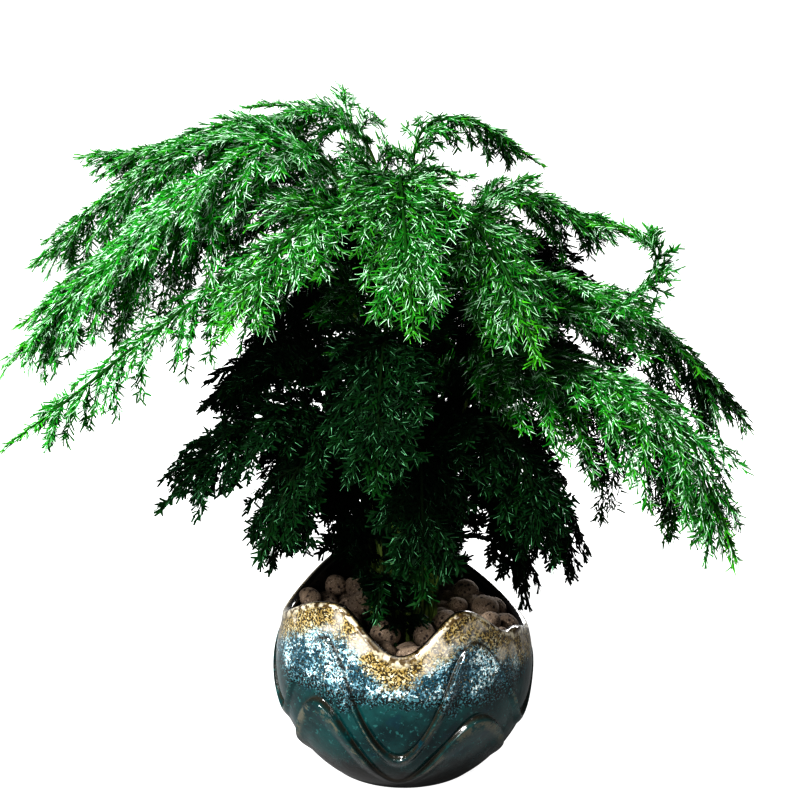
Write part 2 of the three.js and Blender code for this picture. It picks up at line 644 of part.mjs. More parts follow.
function needledSleeve(skin, low, high, before, here, index, twigScale, owner, near) {
  const twig = { length: TWIG_LENGTH * twigScale, sweep: TWIG_SWEEP };
  const needle = { length: NEEDLE_LENGTH, sweep: NEEDLE_SWEEP };
  // The needles go up left, down, up right and down in turn.
  const upLeft = index % 4 === 1 && needle;
  const upRight = index % 4 === 3 && needle;
  const down = index % 2 === 0 && needle;
  const spikes = [
    { face: [low[1], high[1], high[0]], from: here, turn: TWIG_TURNS.left, size: twig },
    { face: [low[2], high[0], high[2]], from: here, turn: TWIG_TURNS.right, size: twig },
    { face: [low[0], low[1], high[0]], from: before, turn: NEEDLE_TURNS.left, size: upLeft },
    { face: [low[2], low[0], high[0]], from: before, turn: NEEDLE_TURNS.right, size: upRight },
    { face: [low[1], high[2], high[1]], from: here, turn: NEEDLE_TURNS.down, size: down },
  ];
  for (const { face, from, turn, size } of spikes) {
    const tip = size && clearTip(skin, face, from, turn, size, owner, near);
    if (tip) skin.spike(face, tip);
    else skin.face(...face);
  }
  skin.face(low[1], low[2], high[2]);
}

// The tip of a spike that comes near nothing else, tried at full length and then shorter.
function clearTip(skin, face, from, turn, { length, sweep }, owner, near) {
  for (const share of SPIKE_LENGTHS) {
    const tip = from.centre
      .clone()
      .addScaledVector(from.along, length * share * Math.cos(radians(sweep)))
      .addScaledVector(from.outward(turn), length * share * Math.sin(radians(sweep)));
    const samples = face.flatMap((corner) => linePoints(tip, skin.points[corner], SAMPLE_STEP).slice(0, -1));
    const own = (other) => other === owner;
    if (samples.some((point) => near.taken(point, NEEDLE_CLEARANCE, own))) continue;
    samples.forEach((point) => near.add(point, owner));
    return tip;
  }
  return null;
}

function stemRing(skin, curve, frond, share) {
  const { left, above } = stemFrame(curve, frond, share);
  const centre = curve.point(share);
  return STEM_CORNERS.map((degrees) =>
    skin.point(
      centre
        .clone()
        .addScaledVector(left, stemRadius(share) * Math.cos(radians(degrees)))
        .addScaledVector(above, stemRadius(share) * Math.sin(radians(degrees))),
    ),
  );
}

// Splits the underside between two rings. The triangle that a hanging spray grows from lies on the
// side that the spray leans to.
function underBase(skin, low, high, k, next, leansLeft) {
  if (leansLeft) {
    skin.face(low[k], high[next], high[k]);
    return [high[next], low[k], low[next]];
  }
  skin.face(low[next], high[next], high[k]);
  return [high[k], low[k], low[next]];
}

// Joins two rings of a stem. A side that a spray grows from keeps one triangle free for it.
function stemSleeve(skin, low, high, sprays) {
  const bases = [];
  for (let k = 0; k < 4; k++) {
    const next = (k + 1) % 4;
    const leftSpray = k === 3 && sprays.find((spray) => spray.row === "left");
    const rightSpray = k === 1 && sprays.find((spray) => spray.row === "right");
    const underSpray = k === 2 && sprays.find((spray) => spray.row === "under");
    if (rightSpray) bases.push([rightSpray, [low[k], low[next], high[next]]]);
    else if (underSpray) bases.push([underSpray, underBase(skin, low, high, k, next, underSpray.leansLeft)]);
    else skin.face(low[k], low[next], high[next]);
    if (leftSpray) bases.push([leftSpray, [high[next], high[k], low[k]]]);
    else if (!underSpray) skin.face(low[k], high[next], high[k]);
  }
  return bases;
}

// Shares of a stem's length, each where a straight piece from the last one would leave the curve.
function bendShares(curve, from, to) {
  const shares = [];
  const margin = RING_MARGIN / curve.length;
  let last = from;
  for (let share = from + margin; share < to - margin; share += SAMPLE_STEP / curve.length) {
    const turn = curve.tangent(share).angleTo(curve.tangent(last));
    if (((share - last) * curve.length * turn) / 8 < RING_SAG) continue;
    shares.push(share);
    last = share;
  }
  return shares;
}

// The rings of a stem's side, each with its share of the length and the sprays that grow from it.
function stemRings(curve, kept) {
  const stations = [...new Set(kept.map((spray) => spray.station))].sort((a, b) => a - b);
  const half = TWIN_RINGS / curve.length;
  const aboveSoil = (STEM_BURIED + STRAIGHT_ABOVE_SOIL) / curve.length;
  const rings = [0, aboveSoil].map((share) => ({ share, sprays: [] }));
  for (const station of stations) {
    const from = rings[rings.length - 1].share;
    rings.push(...bendShares(curve, from, station).map((share) => ({ share, sprays: [] })));
    rings.push({ share: station - half, sprays: [] });
    rings.push({ share: station + half, sprays: kept.filter((spray) => spray.station === station) });
  }
  return rings;
}

const ownerOf = (frond, spray) => frond.name + spray.station + spray.row;

function frondGeometry({ frond, curve, kept }, near) {
  const skin = new Skin();
  const rings = stemRings(curve, kept);
  let ring = stemRing(skin, curve, frond, 0);
  skin.face(ring[0], ring[2], ring[1]);
  skin.face(ring[0], ring[3], ring[2]);
  const bases = [];
  for (const { share, sprays } of rings.slice(1)) {
    const next = stemRing(skin, curve, frond, share);
    bases.push(...stemSleeve(skin, ring, next, sprays));
    ring = next;
  }
  skin.face(ring[0], ring[1], ring[2]);
  const last = rings[rings.length - 1].share;
  const rest = (share) => curve.point(mix(last, 1, share));
  const lastFrame = stemFrame(curve, frond, (last + 1) / 2);
  const restLength = (1 - last) * curve.length;
  growCore(skin, [ring[0], ring[2], ring[3]], rest, restLength, lastFrame.above, frond.name, near);
  for (const [spray, base] of bases) {
    growCore(skin, base, (share) => sprayPoint(spray, share), spray.length, spray.upward, ownerOf(frond, spray), near);
  }
  return skin.geometry();
}

function frondGeometries() {
  const draw = seededDraw(FROND_SEED);
  const fronds = FRONDS.map((frond) => {
    const curve = stemCurve(frond);
    return { frond, curve, sprays: plannedSprays(frond, curve, draw), kept: [] };
  });
  settleSprays(fronds);
  const near = new NearPoints(NEEDLE_CLEARANCE);
  for (const { frond, curve, kept } of fronds) {
    const count = Math.ceil(curve.length / SAMPLE_STEP);
    for (let i = 0; i <= count; i++) near.add(curve.point(i / count), frond.name);
    for (const spray of kept)
      spraySamples(spray).forEach((point) => near.add(point, ownerOf(frond, spray)));
  }
  return fronds.map((item) => [item.frond.name, frondGeometry(item, near)]);
}

function namedMesh(name, geometry, look) {
  geometry.computeVertexNormals();
  const material = new THREE.MeshStandardMaterial({ ...look, metalness: 0, flatShading: true });
  const mesh = new THREE.Mesh(geometry, material);
  mesh.name = name;
  return mesh;
}

const plant = new THREE.Group();
plant.add(namedMesh("pot", potSkin().geometry(), LOOKS.glaze));
plant.add(namedMesh("potting_soil", soilGeometry(), LOOKS.soil));
plant.add(namedMesh("clay_pebbles", pebbleGeometry(), LOOKS.clay));
for (const [name, geometry] of frondGeometries()) {
  const look = SHADED_FRONDS.includes(name) ? LOOKS.shadedLeaf : LOOKS.brightLeaf;
  plant.add(namedMesh("frond_" + name, geometry, look));
}

export default plant;
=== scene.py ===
"""The looks of the potted lace fern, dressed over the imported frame.

Sizes and places are in millimetres and become metres where a mesh or a light is made. Azimuths are
counter-clockwise from +X, seen from above. The front of the plant faces -Y.
"""
import math
import random

import bmesh
import bpy
import numpy as np
from mathutils import Matrix, Vector, noise


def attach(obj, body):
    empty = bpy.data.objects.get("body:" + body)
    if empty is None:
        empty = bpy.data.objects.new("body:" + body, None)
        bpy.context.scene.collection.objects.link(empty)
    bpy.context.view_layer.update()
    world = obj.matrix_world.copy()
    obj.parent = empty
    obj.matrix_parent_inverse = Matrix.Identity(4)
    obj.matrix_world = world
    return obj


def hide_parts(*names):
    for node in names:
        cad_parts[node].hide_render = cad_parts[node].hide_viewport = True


MM = 0.001

# Camera and lights
CAMERA_PLACE = (-2.3, -771.6, 417.1)
CAMERA_DOWN = 15.3
CAMERA_LENS = 67.5
CAMERA_SENSOR = 36
CAMERA_SEES_TO = 100
KEY_FROM = (-0.62, -0.5, 0.82)
KEY_STRENGTH = 5.0
KEY_SOFTNESS = 10
FILL_STRENGTH = 0.14
WINDOW_PLACE = (617, -931, 1060)
WINDOW_LOOKS_AT = (27, -66, 60)
WINDOW_SIZE = (150, 330)
WINDOW_POWER = 2.2
FRONT_PLACE = (-330, -760, 470)
FRONT_LOOKS_AT = (0, 0, 70)
FRONT_SIZE = (420, 420)
FRONT_POWER = 5
BACK_PLACE = (420, 980, 420)
BACK_LOOKS_AT = (0, 0, 180)
BACK_SIZE = (500, 500)
BACK_POWER = 8
FLOOR_PALE = 0.3
FLOOR_GLOW = 0.65
FLOOR_BOUNCE = 0.2
FLOOR_RADIUS = 30000
FLOOR_SIDES = 64

# Pot
POT_SIDES = 260
BODY_RADIUS = 71.5
BODY_CENTRE = 57
WALL = 5.5
FOOT_RADIUS = 41
FOOT_ROUND = {"radius": 45.8, "height": 1.9}
FOOT_EDGE = {"out": 0.6, "up": 0.35}
NECK_HEIGHT = 78
NECK_LEAN = 0.16
RIM = [(5, 76), (104, 109), (170, 85), (235, 110), (268, 87), (299, 107.5), (331, 88)]
UPPER_RIDGE = [
    (16, 60), (54, 30), (92, 84), (128, 34), (162, 70),
    (196, 36), (231, 90), (267, 29), (303, 89), (340, 33),
]
LOWER_RIDGE = [
    (16, 38), (54, 11), (92, 52), (128, 12), (162, 44),
    (196, 14), (231, 57), (266, 9), (303, 49), (340, 12),
]
RIDGE_RISE = 2.8
CREASE_DEPTH = 1.1
CREASE_OFFSET = 2.6
SHOULDER = 15
EASE = 11
SHOULDER_ROOM = 0.8
EASE_ROOM = 0.6
SQUEEZED_RISE = 0.35
BELLY_SHARE = 0.4
WAIST_SHARE = 0.6
RIDGE_ROUNDING = 1.6
RIDGE_WANDERS = {"mean": 0.75, "most": 0.2, "waves": 5, "slope": 0.11}
CREASE_MARK = {"middle": 1.9, "width": 1.3}
SHOULDER_MARK = {"from": (-9, -3.5), "until": (-1.2, 0.4)}
LIP_ROUND = 1.6
LIP_STEPS = 8
LIP_MARK_HEIGHT = 0.5
LIP_INSIDE_FROM = (0.22, 0.5)
LIP_UNTIL = (0.15, 0.4)
INNER_TOP = 60.0
INNER_STEPS = 12
INNER_LEVELS = (48, 32, 18)
INNER_FLOOR = 7
INNER_FLOOR_RADIUS = 38
# Rows of the fine wall between one landmark of the outline and the next
BELLY_ROWS = 7
BELOW_LOWER_RIDGE = 3
BELOW_UPPER_RIDGE = 5
RIDGE_ROWS = [14, 7, 9]
NECK_ROWS = 10

# Filling
GAP = 0.5
SOIL_TOP = 62
SOIL_MOUND = {"radius": 21, "top_radius": 17, "height": 67}
SOIL_SEED = 5
SOIL_SIDES = 120
SOIL_INNER_LEVEL = 64
SOIL_LUMPS = [(1.3, 0.35), (0.65, 0.9)]
STEM_BURIED = 25
STRAIGHT_ABOVE_SOIL = 11
BED_TOP = 70
PEBBLE_ROWS = [(56, 17, 75), (42.5, 13, 75), (30.5, 8, 74)]
PEBBLE_HALF = {"least": 6, "most": 9.6}
PEBBLE_STRAYS = {"azimuth": 0.35, "radius": 5, "height": 3}
PEBBLE_SINKS = 0.25
PEBBLE_LIMIT = 63.4
PEBBLE_SEED = 11
PEBBLE_LEVELS = 4
PEBBLE_SWELL = [(0.16, 0.9), (0.035, 3.2)]
PEBBLE_SHIFT = 50
PEBBLE_FULLER = 1.04
HOLLOW_COUNT = (7, 13)
HOLLOW_WIDTH = (0.07, 0.17)
HOLLOW_FLOOR = 0.45
HOLLOW_DEPTH = 0.075
FILLER_SEED = 23
FILLER_COUNT = 75
FILLER_FROM = 22
FILLER_NESTLES = 0.93
FILLER_SHAPE = [(0.85, 1.15), (0.85, 1.1), (0.8, 1.0)]
FILLER_RADIUS = (6.2, 9)
FILLER_TRIES = 60
FILLER_CEILING = 84
CRUMB_COUNT = 160
CRUMB_SPREAD = 24
CRUMB_SIZE = (0.7, 2.0)
CRUMB_LUMP = (0.45, 1.3)
CRUMB_SLOPE = 4

# Fronds: name, azimuth, root, spread, bare, pairs, swing and the stem's line
FROND_SEED = 41
GROWTH_SEED = 97
PAINTED_SHADOW_SEED = 8
STEM_FOOT_RADIUS = 1.4
STEM_TIP_RADIUS = 0.65
FRONDS = [
    ("left_bright", 192, (11, 196), 44, 0.56, 7, 8,
     [(14, 230), (36, 326), (66, 344), (108, 322), (156, 282), (203, 238)]),
    ("left_upper", 168, (12, 166), 44, 0.56, 6, -12,
     [(15, 240), (34, 322), (66, 345), (112, 338), (158, 311), (213, 268)]),
    ("crown_left", 150, (5, 140), 42, 0.59, 6, 14,
     [(7, 250), (14, 322), (36, 353), (86, 351), (152, 333), (204, 325)]),
    ("left_lower", 207, (16, 214), 36, 0.5, 6, -6,
     [(21, 200), (43, 288), (84, 286), (134, 258), (172, 232), (210, 207)]),
    ("front_left", 236, (11, 232), 42, 0.53, 5, -14,
     [(14, 220), (32, 300), (62, 316), (98, 296), (130, 264)]),
    ("front", 264, (5, 262), 42, 0.58, 5, 16,
     [(8, 230), (22, 308), (50, 330), (86, 312), (116, 270)]),
    ("front_right", 296, (11, 290), 42, 0.54, 5, 12,
     [(14, 220), (30, 294), (56, 312), (90, 292), (114, 254)]),
    ("right_upper", 14, (11, 20), 38, 0.54, 5, -12,
     [(14, 220), (26, 292), (52, 316), (88, 306), (124, 290)]),
    ("crown_right", 44, (5, 36), 22, 0.58, 4, -12,
     [(6, 240), (4, 312), (12, 347), (34, 353), (60, 344), (90, 326)]),
    ("back", 98, (6, 92), 42, 0.56, 5, 18,
     [(9, 220), (24, 298), (52, 318), (92, 300), (132, 254)]),
    ("climbing", 338, (6, 330), 12, 0.56, 6, 0,
     [(22, 170), (56, 246), (84, 262), (108, 263), (126, 277), (132, 292), (121, 304), (101, 306)]),
    ("right_long", 357, (15, 358), 48, 0.46, 5, 10,
     [(19, 180), (36, 240), (58, 271), (88, 271), (130, 249), (181, 199)]),
    ("right_drooping", 327, (15, 320), 46, 0.42, 6, -8,
     [(20, 160), (46, 234), (90, 240), (132, 232), (162, 214), (178, 186), (190, 160)]),
    ("back_right", 50, (13, 60), 42, 0.48, 5, -16,
     [(17, 180), (38, 236), (72, 248), (112, 222), (146, 178)]),
    ("back_left", 124, (13, 126), 42, 0.48, 5, 10,
     [(17, 180), (38, 254), (74, 262), (114, 236), (146, 190)]),
    ("right_inner", 26, (16.5, 38), 42, 0.46, 5, 8,
     [(20, 150), (28, 230), (46, 272), (74, 284), (102, 268), (126, 238)]),
    ("left_inner", 178, (17, 178), 48, 0.44, 5, -8,
     [(20, 160), (40, 224), (70, 231), (108, 200)]),
    ("right_hanging", 12, (17, 12), 44, 0.42, 4, 10,
     [(20, 130), (36, 188), (58, 186), (82, 146), (98, 95)]),
    ("left_spreading", 203, (18, 196), 44, 0.44, 4, 6,
     [(22, 140), (42, 200), (74, 206), (108, 190), (134, 167)]),
    ("left_hanging", 148, (17, 148), 40, 0.42, 4, -8,
     [(21, 130), (38, 180), (62, 182), (92, 134)]),
    ("front_low", 280, (17, 276), 36, 0.5, 4, -8,
     [(20, 140), (34, 196), (60, 200), (84, 172), (96, 134)]),
    ("base", 250, (16, 250), 26, 0.44, 3, 5,
     [(18, 88), (25, 110), (40, 118), (56, 104)]),
    ("left_middle", 180, (5.5, 200), 42, 0.54, 6, 4,
     [(8, 220), (16, 280), (36, 312), (66, 318), (108, 308), (158, 282), (200, 248)]),
    ("front_middle", 258, (10.5, 262), 42, 0.46, 5, 10,
     [(17, 170), (34, 240), (60, 252), (90, 228), (110, 192)]),
    ("front_left_low", 226, (17.5, 232), 40, 0.42, 4, -6,
     [(20, 140), (34, 192), (56, 198), (80, 176), (98, 142)]),
    ("front_right_low", 310, (17.5, 298), 42, 0.42, 4, 8,
     [(20, 140), (38, 202), (64, 206), (90, 182), (106, 146)]),
    ("right_low", 345, (18, 339), 42, 0.42, 4, -6,
     [(20, 120), (30, 162), (48, 162), (62, 136), (70, 100)]),
    ("left_low", 164, (18, 163), 36, 0.42, 4, 6,
     [(21, 120), (40, 164), (56, 162), (70, 134), (76, 104)]),
    ("right_middle", 352, (11, 342), 40, 0.45, 5, -4,
     [(13, 150), (18, 188), (32, 218), (54, 233), (90, 226), (130, 192), (162, 148)]),
]
SHADED_FRONDS = {
    "right_inner", "left_inner", "right_hanging", "left_hanging", "left_spreading",
    "front_low", "base", "back_left", "back_right", "front_middle",
    "front_left_low", "front_right_low", "right_low", "left_low",
}

# Side sprays, as on the solid fronds
ANGLE_LOW = 56
ANGLE_HIGH = 36
ANGLE_VARIES = 7
CLOSER_OUTWARD = 0.84
LAST_PAIR_SHORT = 0.9
TILT_VARIES = 18
HANGING_TILT = -70
HANGING_VARIES = 10
HANGING_BENDS = (0, -10, -22)
HANGING_SHARE = 0.85
HANGING_EVERY = 2
SHORTEST_SPRAY = 14
LENGTH_LEAST = 0.88
LENGTH_MOST = 1.1
LOWEST_SPREAD = 0.72
WIDEST_AT = 0.25
SPREAD_LOST = 0.6
SPREAD_FALL = 1.4
DROOP_LEAST = 0.15
DROOP_MOST = 0.5
SPRAY_CLEARANCE = 3.4
SPRAY_BENDS = (0, 15, -10, 30)
SPRAY_LENGTHS = (1, 0.72, 0.5)
SAMPLE_STEP = 1.6
STEM_SAMPLES = 4
TERMINAL_LENGTH = 32

HANGS_BELOW = -45

# Finer growth between them
BETWEEN_SPRAYS = 3
EARLY_SPRAYS = 2
EARLY_SHARE = 0.8
BETWEEN_HANGING_SHARE = 1.25
HANGING_AT_TIP = 0.6
MORE_SPRAYS = {"crown_right": 5, "crown_left": 4}
HANGING_OF = {
    "crown_right": 0.4, "crown_left": 0.75, "right_low": 0.75, "base": 0.6, "front_right_low": 0.8,
    "right_long": 1.15, "right_middle": 1.2, "left_spreading": 0.72, "left_inner": 1.15,
    "left_middle": 1.25, "left_lower": 1.15, "left_bright": 1.1,
}
# Until which pair sprays stand up over the stem, their share of its spread, and their tilt
STANDING_FRONDS = {
    "crown_right": (1.2, 1.25, 68), "left_spreading": (2.6, 0.55, 44), "right_hanging": (2.6, 0.6, 44),
    "right_middle": (1.1, 0.5, 44),
}
FULLNESS = {
    "left_lower": 0.76, "climbing": 0.6, "crown_right": 0.62, "left_middle": 1.15, "left_bright": 1.08,
    "right_long": 1.22, "right_middle": 1.2, "left_inner": 1.05, "left_spreading": 0.95, "base": 0.8,
    "right_low": 0.8,
}
BETWEEN_SHARE = (0.9, 1.12)
BETWEEN_TILT = 26
BETWEEN_ANGLE = (-14, 8)
BETWEEN_STRAY = 0.2
LAST_LENGTH_AT = 0.2
SPRAY_TUBE_RADIUS = (0.55, 0.22)
SPRAY_TUBE_ROWS = 5
STEM_ROW = 6
STEM_ROWS_LEAST = 12
STEM_SIDES = 7
TWIG_PITCH = 5.2
TWIG_LENGTH = 11.5
TWIG_LENGTH_VARIES = (0.72, 1.05)
TWIG_FOOT_SHARE = 0.6
TWIG_TIP_SHARE = 0.62
TWIG_LONGEST_AT = 0.2
TWIG_STRAY = 0.8
FULL_TWIGS_ON = 30
TWIG_SWEEP = (22, 38)
TWIG_TILT = 15
TWIG_WIDTH = 0.5
TWIG_YOUNG = (0.05, 0.14)
YOUNGER_AT_TIP = 0.12
TERMINAL_YOUNG = (0.05, 0.45)
TUFT_SPACING = 1.25
TUFTS_AT_TIP = 2
NEEDLE_PITCH = 1.93
NEEDLES_AT_NODE = 2
NEEDLE_LENGTH = (3.6, 5.8)
NEEDLE_LEAN = (26, 50)
NEEDLE_SPREAD = 22
NEEDLE_WIDTH = (0.95, 1.35)
FINE_WIDTH = (0.46, 0.66)
FINE_LEAN = (16, 38)
SHADED_WIDER = 1.68
SHADED_SPACING = 1.2
HANGING_WIDER = 1.2
NEEDLE_END_SHARE = 0.55
# How much of a stem's bark shows on each kind of growth
STEM_ON = {"bare": 1.0, "blade": 0.6, "spray": 0.55, "twig": 0.35}
# Fine needles carry painted highlights: their share, how many more a frond with more painted light gets, and
# how pale they are
FINE_SHARE = 0.22
FINE_WITH_LIGHT = 0.6
FINE_HIGHLIGHT = 0.66
FINE_HIGHLIGHT_POWER = 0.9
FINE_TINT = (0.55, 1)
BODY_HIGHLIGHT = (0, 0.015)
BODY_TINT = {"twig": 0.4, "light": 1.1, "varies": 0.08}
YOUNG_VARIES = 0.05
# Painted light on each frond: those on the left, towards the key light, get a lighter body and more and paler
# highlights
USUAL_PAINTED_LIGHT = 0.25
PAINTED_LIGHT_FRONDS = {
    "left_bright": 0.58, "left_middle": 0.52, "left_upper": 0.5, "crown_left": 0.5, "left_lower": 0.46,
    "right_drooping": 0.36, "front_left": 0.3, "right_long": 0.3, "climbing": 0.4,
}
# Painted shadow: cells in which the growth between a needle and the light is counted, and the count that
# halves the light painted on it
PAINTED_SHADOW_CELL = 9
PAINTED_SHADOW_HALF = 230

# Noise levels of the flecks and the relief
FLECK_LEVEL = 0.66
FLECK_RANGE = 0.32
RELIEF_FINER = 5.0

# Colours of the glaze
TEAL = (0.005, 0.050, 0.049)
DEEP_TEAL = (0.0015, 0.016, 0.018)
TEAL_FLECK = (0.02, 0.10, 0.095)
NAVY_BLOT = (0.002, 0.022, 0.04)
# A painted highlight on the upward shoulders of the ridges
SHOULDER_HIGHLIGHT = (0.13, 0.118, 0.080)
# Dark bare clay at the foot, darkened to nearly black by painted shade under the pot
FOOT_CLAY_AND_SHADE = (0.005, 0.005, 0.004)
DARK_EDGE = (0.002, 0.005, 0.005)
DARK_EDGE_FLECK = (0.05, 0.15, 0.17)
PALE_BLUE = (0.22, 0.40, 0.46)
BLUE_WHITE = (0.78, 0.88, 0.86)
DEEP_BLUE = (0.014, 0.060, 0.082)
MIDDLE_BLUE = (0.16, 0.30, 0.36)
BLACK_FLECK = (0.010, 0.012, 0.010)
RUST_FLECK = (0.16, 0.12, 0.05)
SAND = (0.40, 0.31, 0.13)
CREAM = (0.76, 0.72, 0.52)
OCHRE = (0.24, 0.165, 0.045)
DARK_BROWN = (0.030, 0.020, 0.007)
MILK = (0.90, 0.85, 0.78)
CREASE_BROWN = (0.022, 0.016, 0.010)
LIP_CREAM = (0.66, 0.60, 0.46)
LIP_BROWN = (0.07, 0.045, 0.018)
INSIDE_DARK = (0.006, 0.005, 0.004)

# Colours of the soil and the clay
SOIL_DARK = (0.012, 0.008, 0.006)
SOIL_BROWN = (0.055, 0.035, 0.022)
SOIL_FLECK = (0.10, 0.07, 0.045)
CLAY_DARK = (0.098, 0.073, 0.051)
CLAY_BROWN = (0.205, 0.150, 0.104)
CLAY_DUST = (0.21, 0.160, 0.118)
CLAY_PALE_FLECK = (0.42, 0.32, 0.25)
CLAY_DARK_FLECK = (0.06, 0.04, 0.028)
CLAY_PORE = (0.02, 0.011, 0.009)
CLAY_HOLLOW = (0.018, 0.01, 0.008)

# Colours of the leaves
# The deep tones are painted shadow, laid over needles that have growth between them and the key light
SUNLIT = {
    "deep": (0.0004, 0.007, 0.0007), "dark": (0.0006, 0.020, 0.0007), "green": (0.010, 0.36, 0.015),
    "highlight_tone": (0.72, 1.0, 0.78), "young": (0.09, 0.52, 0.010),
    "dull_stem": (0.008, 0.05, 0.006), "bright_stem": (0.24, 0.34, 0.085),
}
SHADED = {
    "deep": (0.0003, 0.0032, 0.0009), "dark": (0.0005, 0.007, 0.0013), "green": (0.0024, 0.028, 0.006),
    "highlight_tone": (0.14, 0.36, 0.19), "young": (0.006, 0.05, 0.005),
    "dull_stem": (0.004, 0.012, 0.003), "bright_stem": (0.15, 0.21, 0.055),
}


def smooth(value, low, high):
    """The smoothstep from 0 at low to 1 at high."""
    share = np.clip((value - low) / (high - low), 0, 1)
    return share * share * (3 - 2 * share)


def mix(first, second, share):
    return first + (second - first) * share


def unit(vectors):
    return vectors / np.linalg.norm(vectors, axis=-1, keepdims=True)


def seeded_draw(seed):
    """Draws from 0 to 1, the same as the solids' draws from the same seed."""
    state = seed

    def multiply(first, second):
        return (first * second) & 0xFFFFFFFF

    def draw():
        nonlocal state
        state = (state + 0x6D2B79F5) & 0xFFFFFFFF
        mixed = multiply(state ^ (state >> 15), state | 1)
        mixed ^= (mixed + multiply(mixed ^ (mixed >> 7), mixed | 61)) & 0xFFFFFFFF
        return (mixed ^ (mixed >> 14)) / 4294967296

    return draw


def added(name, data):
    """A new object of the scene."""
    made = bpy.data.objects.new(name, data)
    bpy.context.scene.collection.objects.link(made)
    return made


def turned(radius, angle, height=0.0):
    """The point at a radius and an angle in radians round the pot's axis."""
    return np.array([radius * math.cos(angle), radius * math.sin(angle), height])


# Meshes

def lumps(points, layers, offset=(0, 0, 0)):
    """Noise at each point, summed over layers of strength and fineness."""
    offset = Vector(offset)
    return np.array([
        sum(strength * noise.noise(Vector(point) * fineness + offset) for strength, fineness in layers)
        for point in points
    ])


def new_piece(name, points, triangles, marks, material, slot, nodes, smooth_faces=True):
    """A piece from points in millimetres, riding on the pot, with one number a point for each mark."""
    triangles = triangles.astype(np.int32)
    mesh = bpy.data.meshes.new(name)
    mesh.vertices.add(len(points))
    mesh.vertices.foreach_set("co", (points * MM).ravel())
    mesh.loops.add(triangles.size)
    mesh.loops.foreach_set("vertex_index", triangles.ravel())
    mesh.polygons.add(len(triangles))
    mesh.polygons.foreach_set("loop_start", np.arange(0, triangles.size, 3, dtype=np.int32))
    mesh.update(calc_edges=True)
    mesh.validate()
    mesh.polygons.foreach_set("use_smooth", np.full(len(mesh.polygons), smooth_faces))
    for mark, values in marks.items():
        layer = mesh.attributes.new(mark, "FLOAT", "POINT")
        layer.data.foreach_set("value", np.asarray(values, np.float32))
    mesh.materials.append(material)
    piece = added(name, mesh)
    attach(piece, "root")
    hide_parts(*nodes)


def turned_grid(rings):
    """Points and triangles of a turned surface from rings of points, closed on the axis at both ends."""
    sides = rings[0].shape[0]
    start = rings[0].mean(axis=0) * (0, 0, 1)
    end = rings[-1].mean(axis=0) * (0, 0, 1)
    points = np.vstack([*rings, start[None], end[None]])
    index = np.arange(sides)
    after = (index + 1) % sides
    triangles = []
    for row in range(len(rings) - 1):
        low, high = row * sides, (row + 1) * sides
        triangles.append(np.stack([low + index, low + after, high + after], 1))
        triangles.append(np.stack([low + index, high + after, high + index], 1))
    last = (len(rings) - 1) * sides
    triangles.append(np.stack([np.full(sides, len(points) - 2), after, index], 1))
    triangles.append(np.stack([np.full(sides, len(points) - 1), last + index, last + after], 1))
    return points, np.vstack(triangles)


def unit_ball(levels):
    """Points and triangles of a ball of radius 1."""
    ball = bmesh.new()
    bmesh.ops.create_icosphere(ball, subdivisions=levels, radius=1)
    ball.verts.index_update()
    points = np.array([vertex.co[:] for vertex in ball.verts])
    triangles = np.array([[vertex.index for vertex in face.verts] for face in ball.faces])
    ball.free()
    return points, triangles


def joined(parts):
    """One set of points, triangles and marks from several."""
    points, triangles, marks, offset = [], [], {}, 0
    for part_points, part_triangles, part_marks in parts:
        points.append(part_points)
        triangles.append(part_triangles + offset)
        offset += len(part_points)
        for mark, values in part_marks.items():
            marks.setdefault(mark, []).append(np.broadcast_to(values, len(part_points)))
    return np.vstack(points), np.vstack(triangles), {mark: np.concatenate(v) for mark, v in marks.items()}


# Node trees

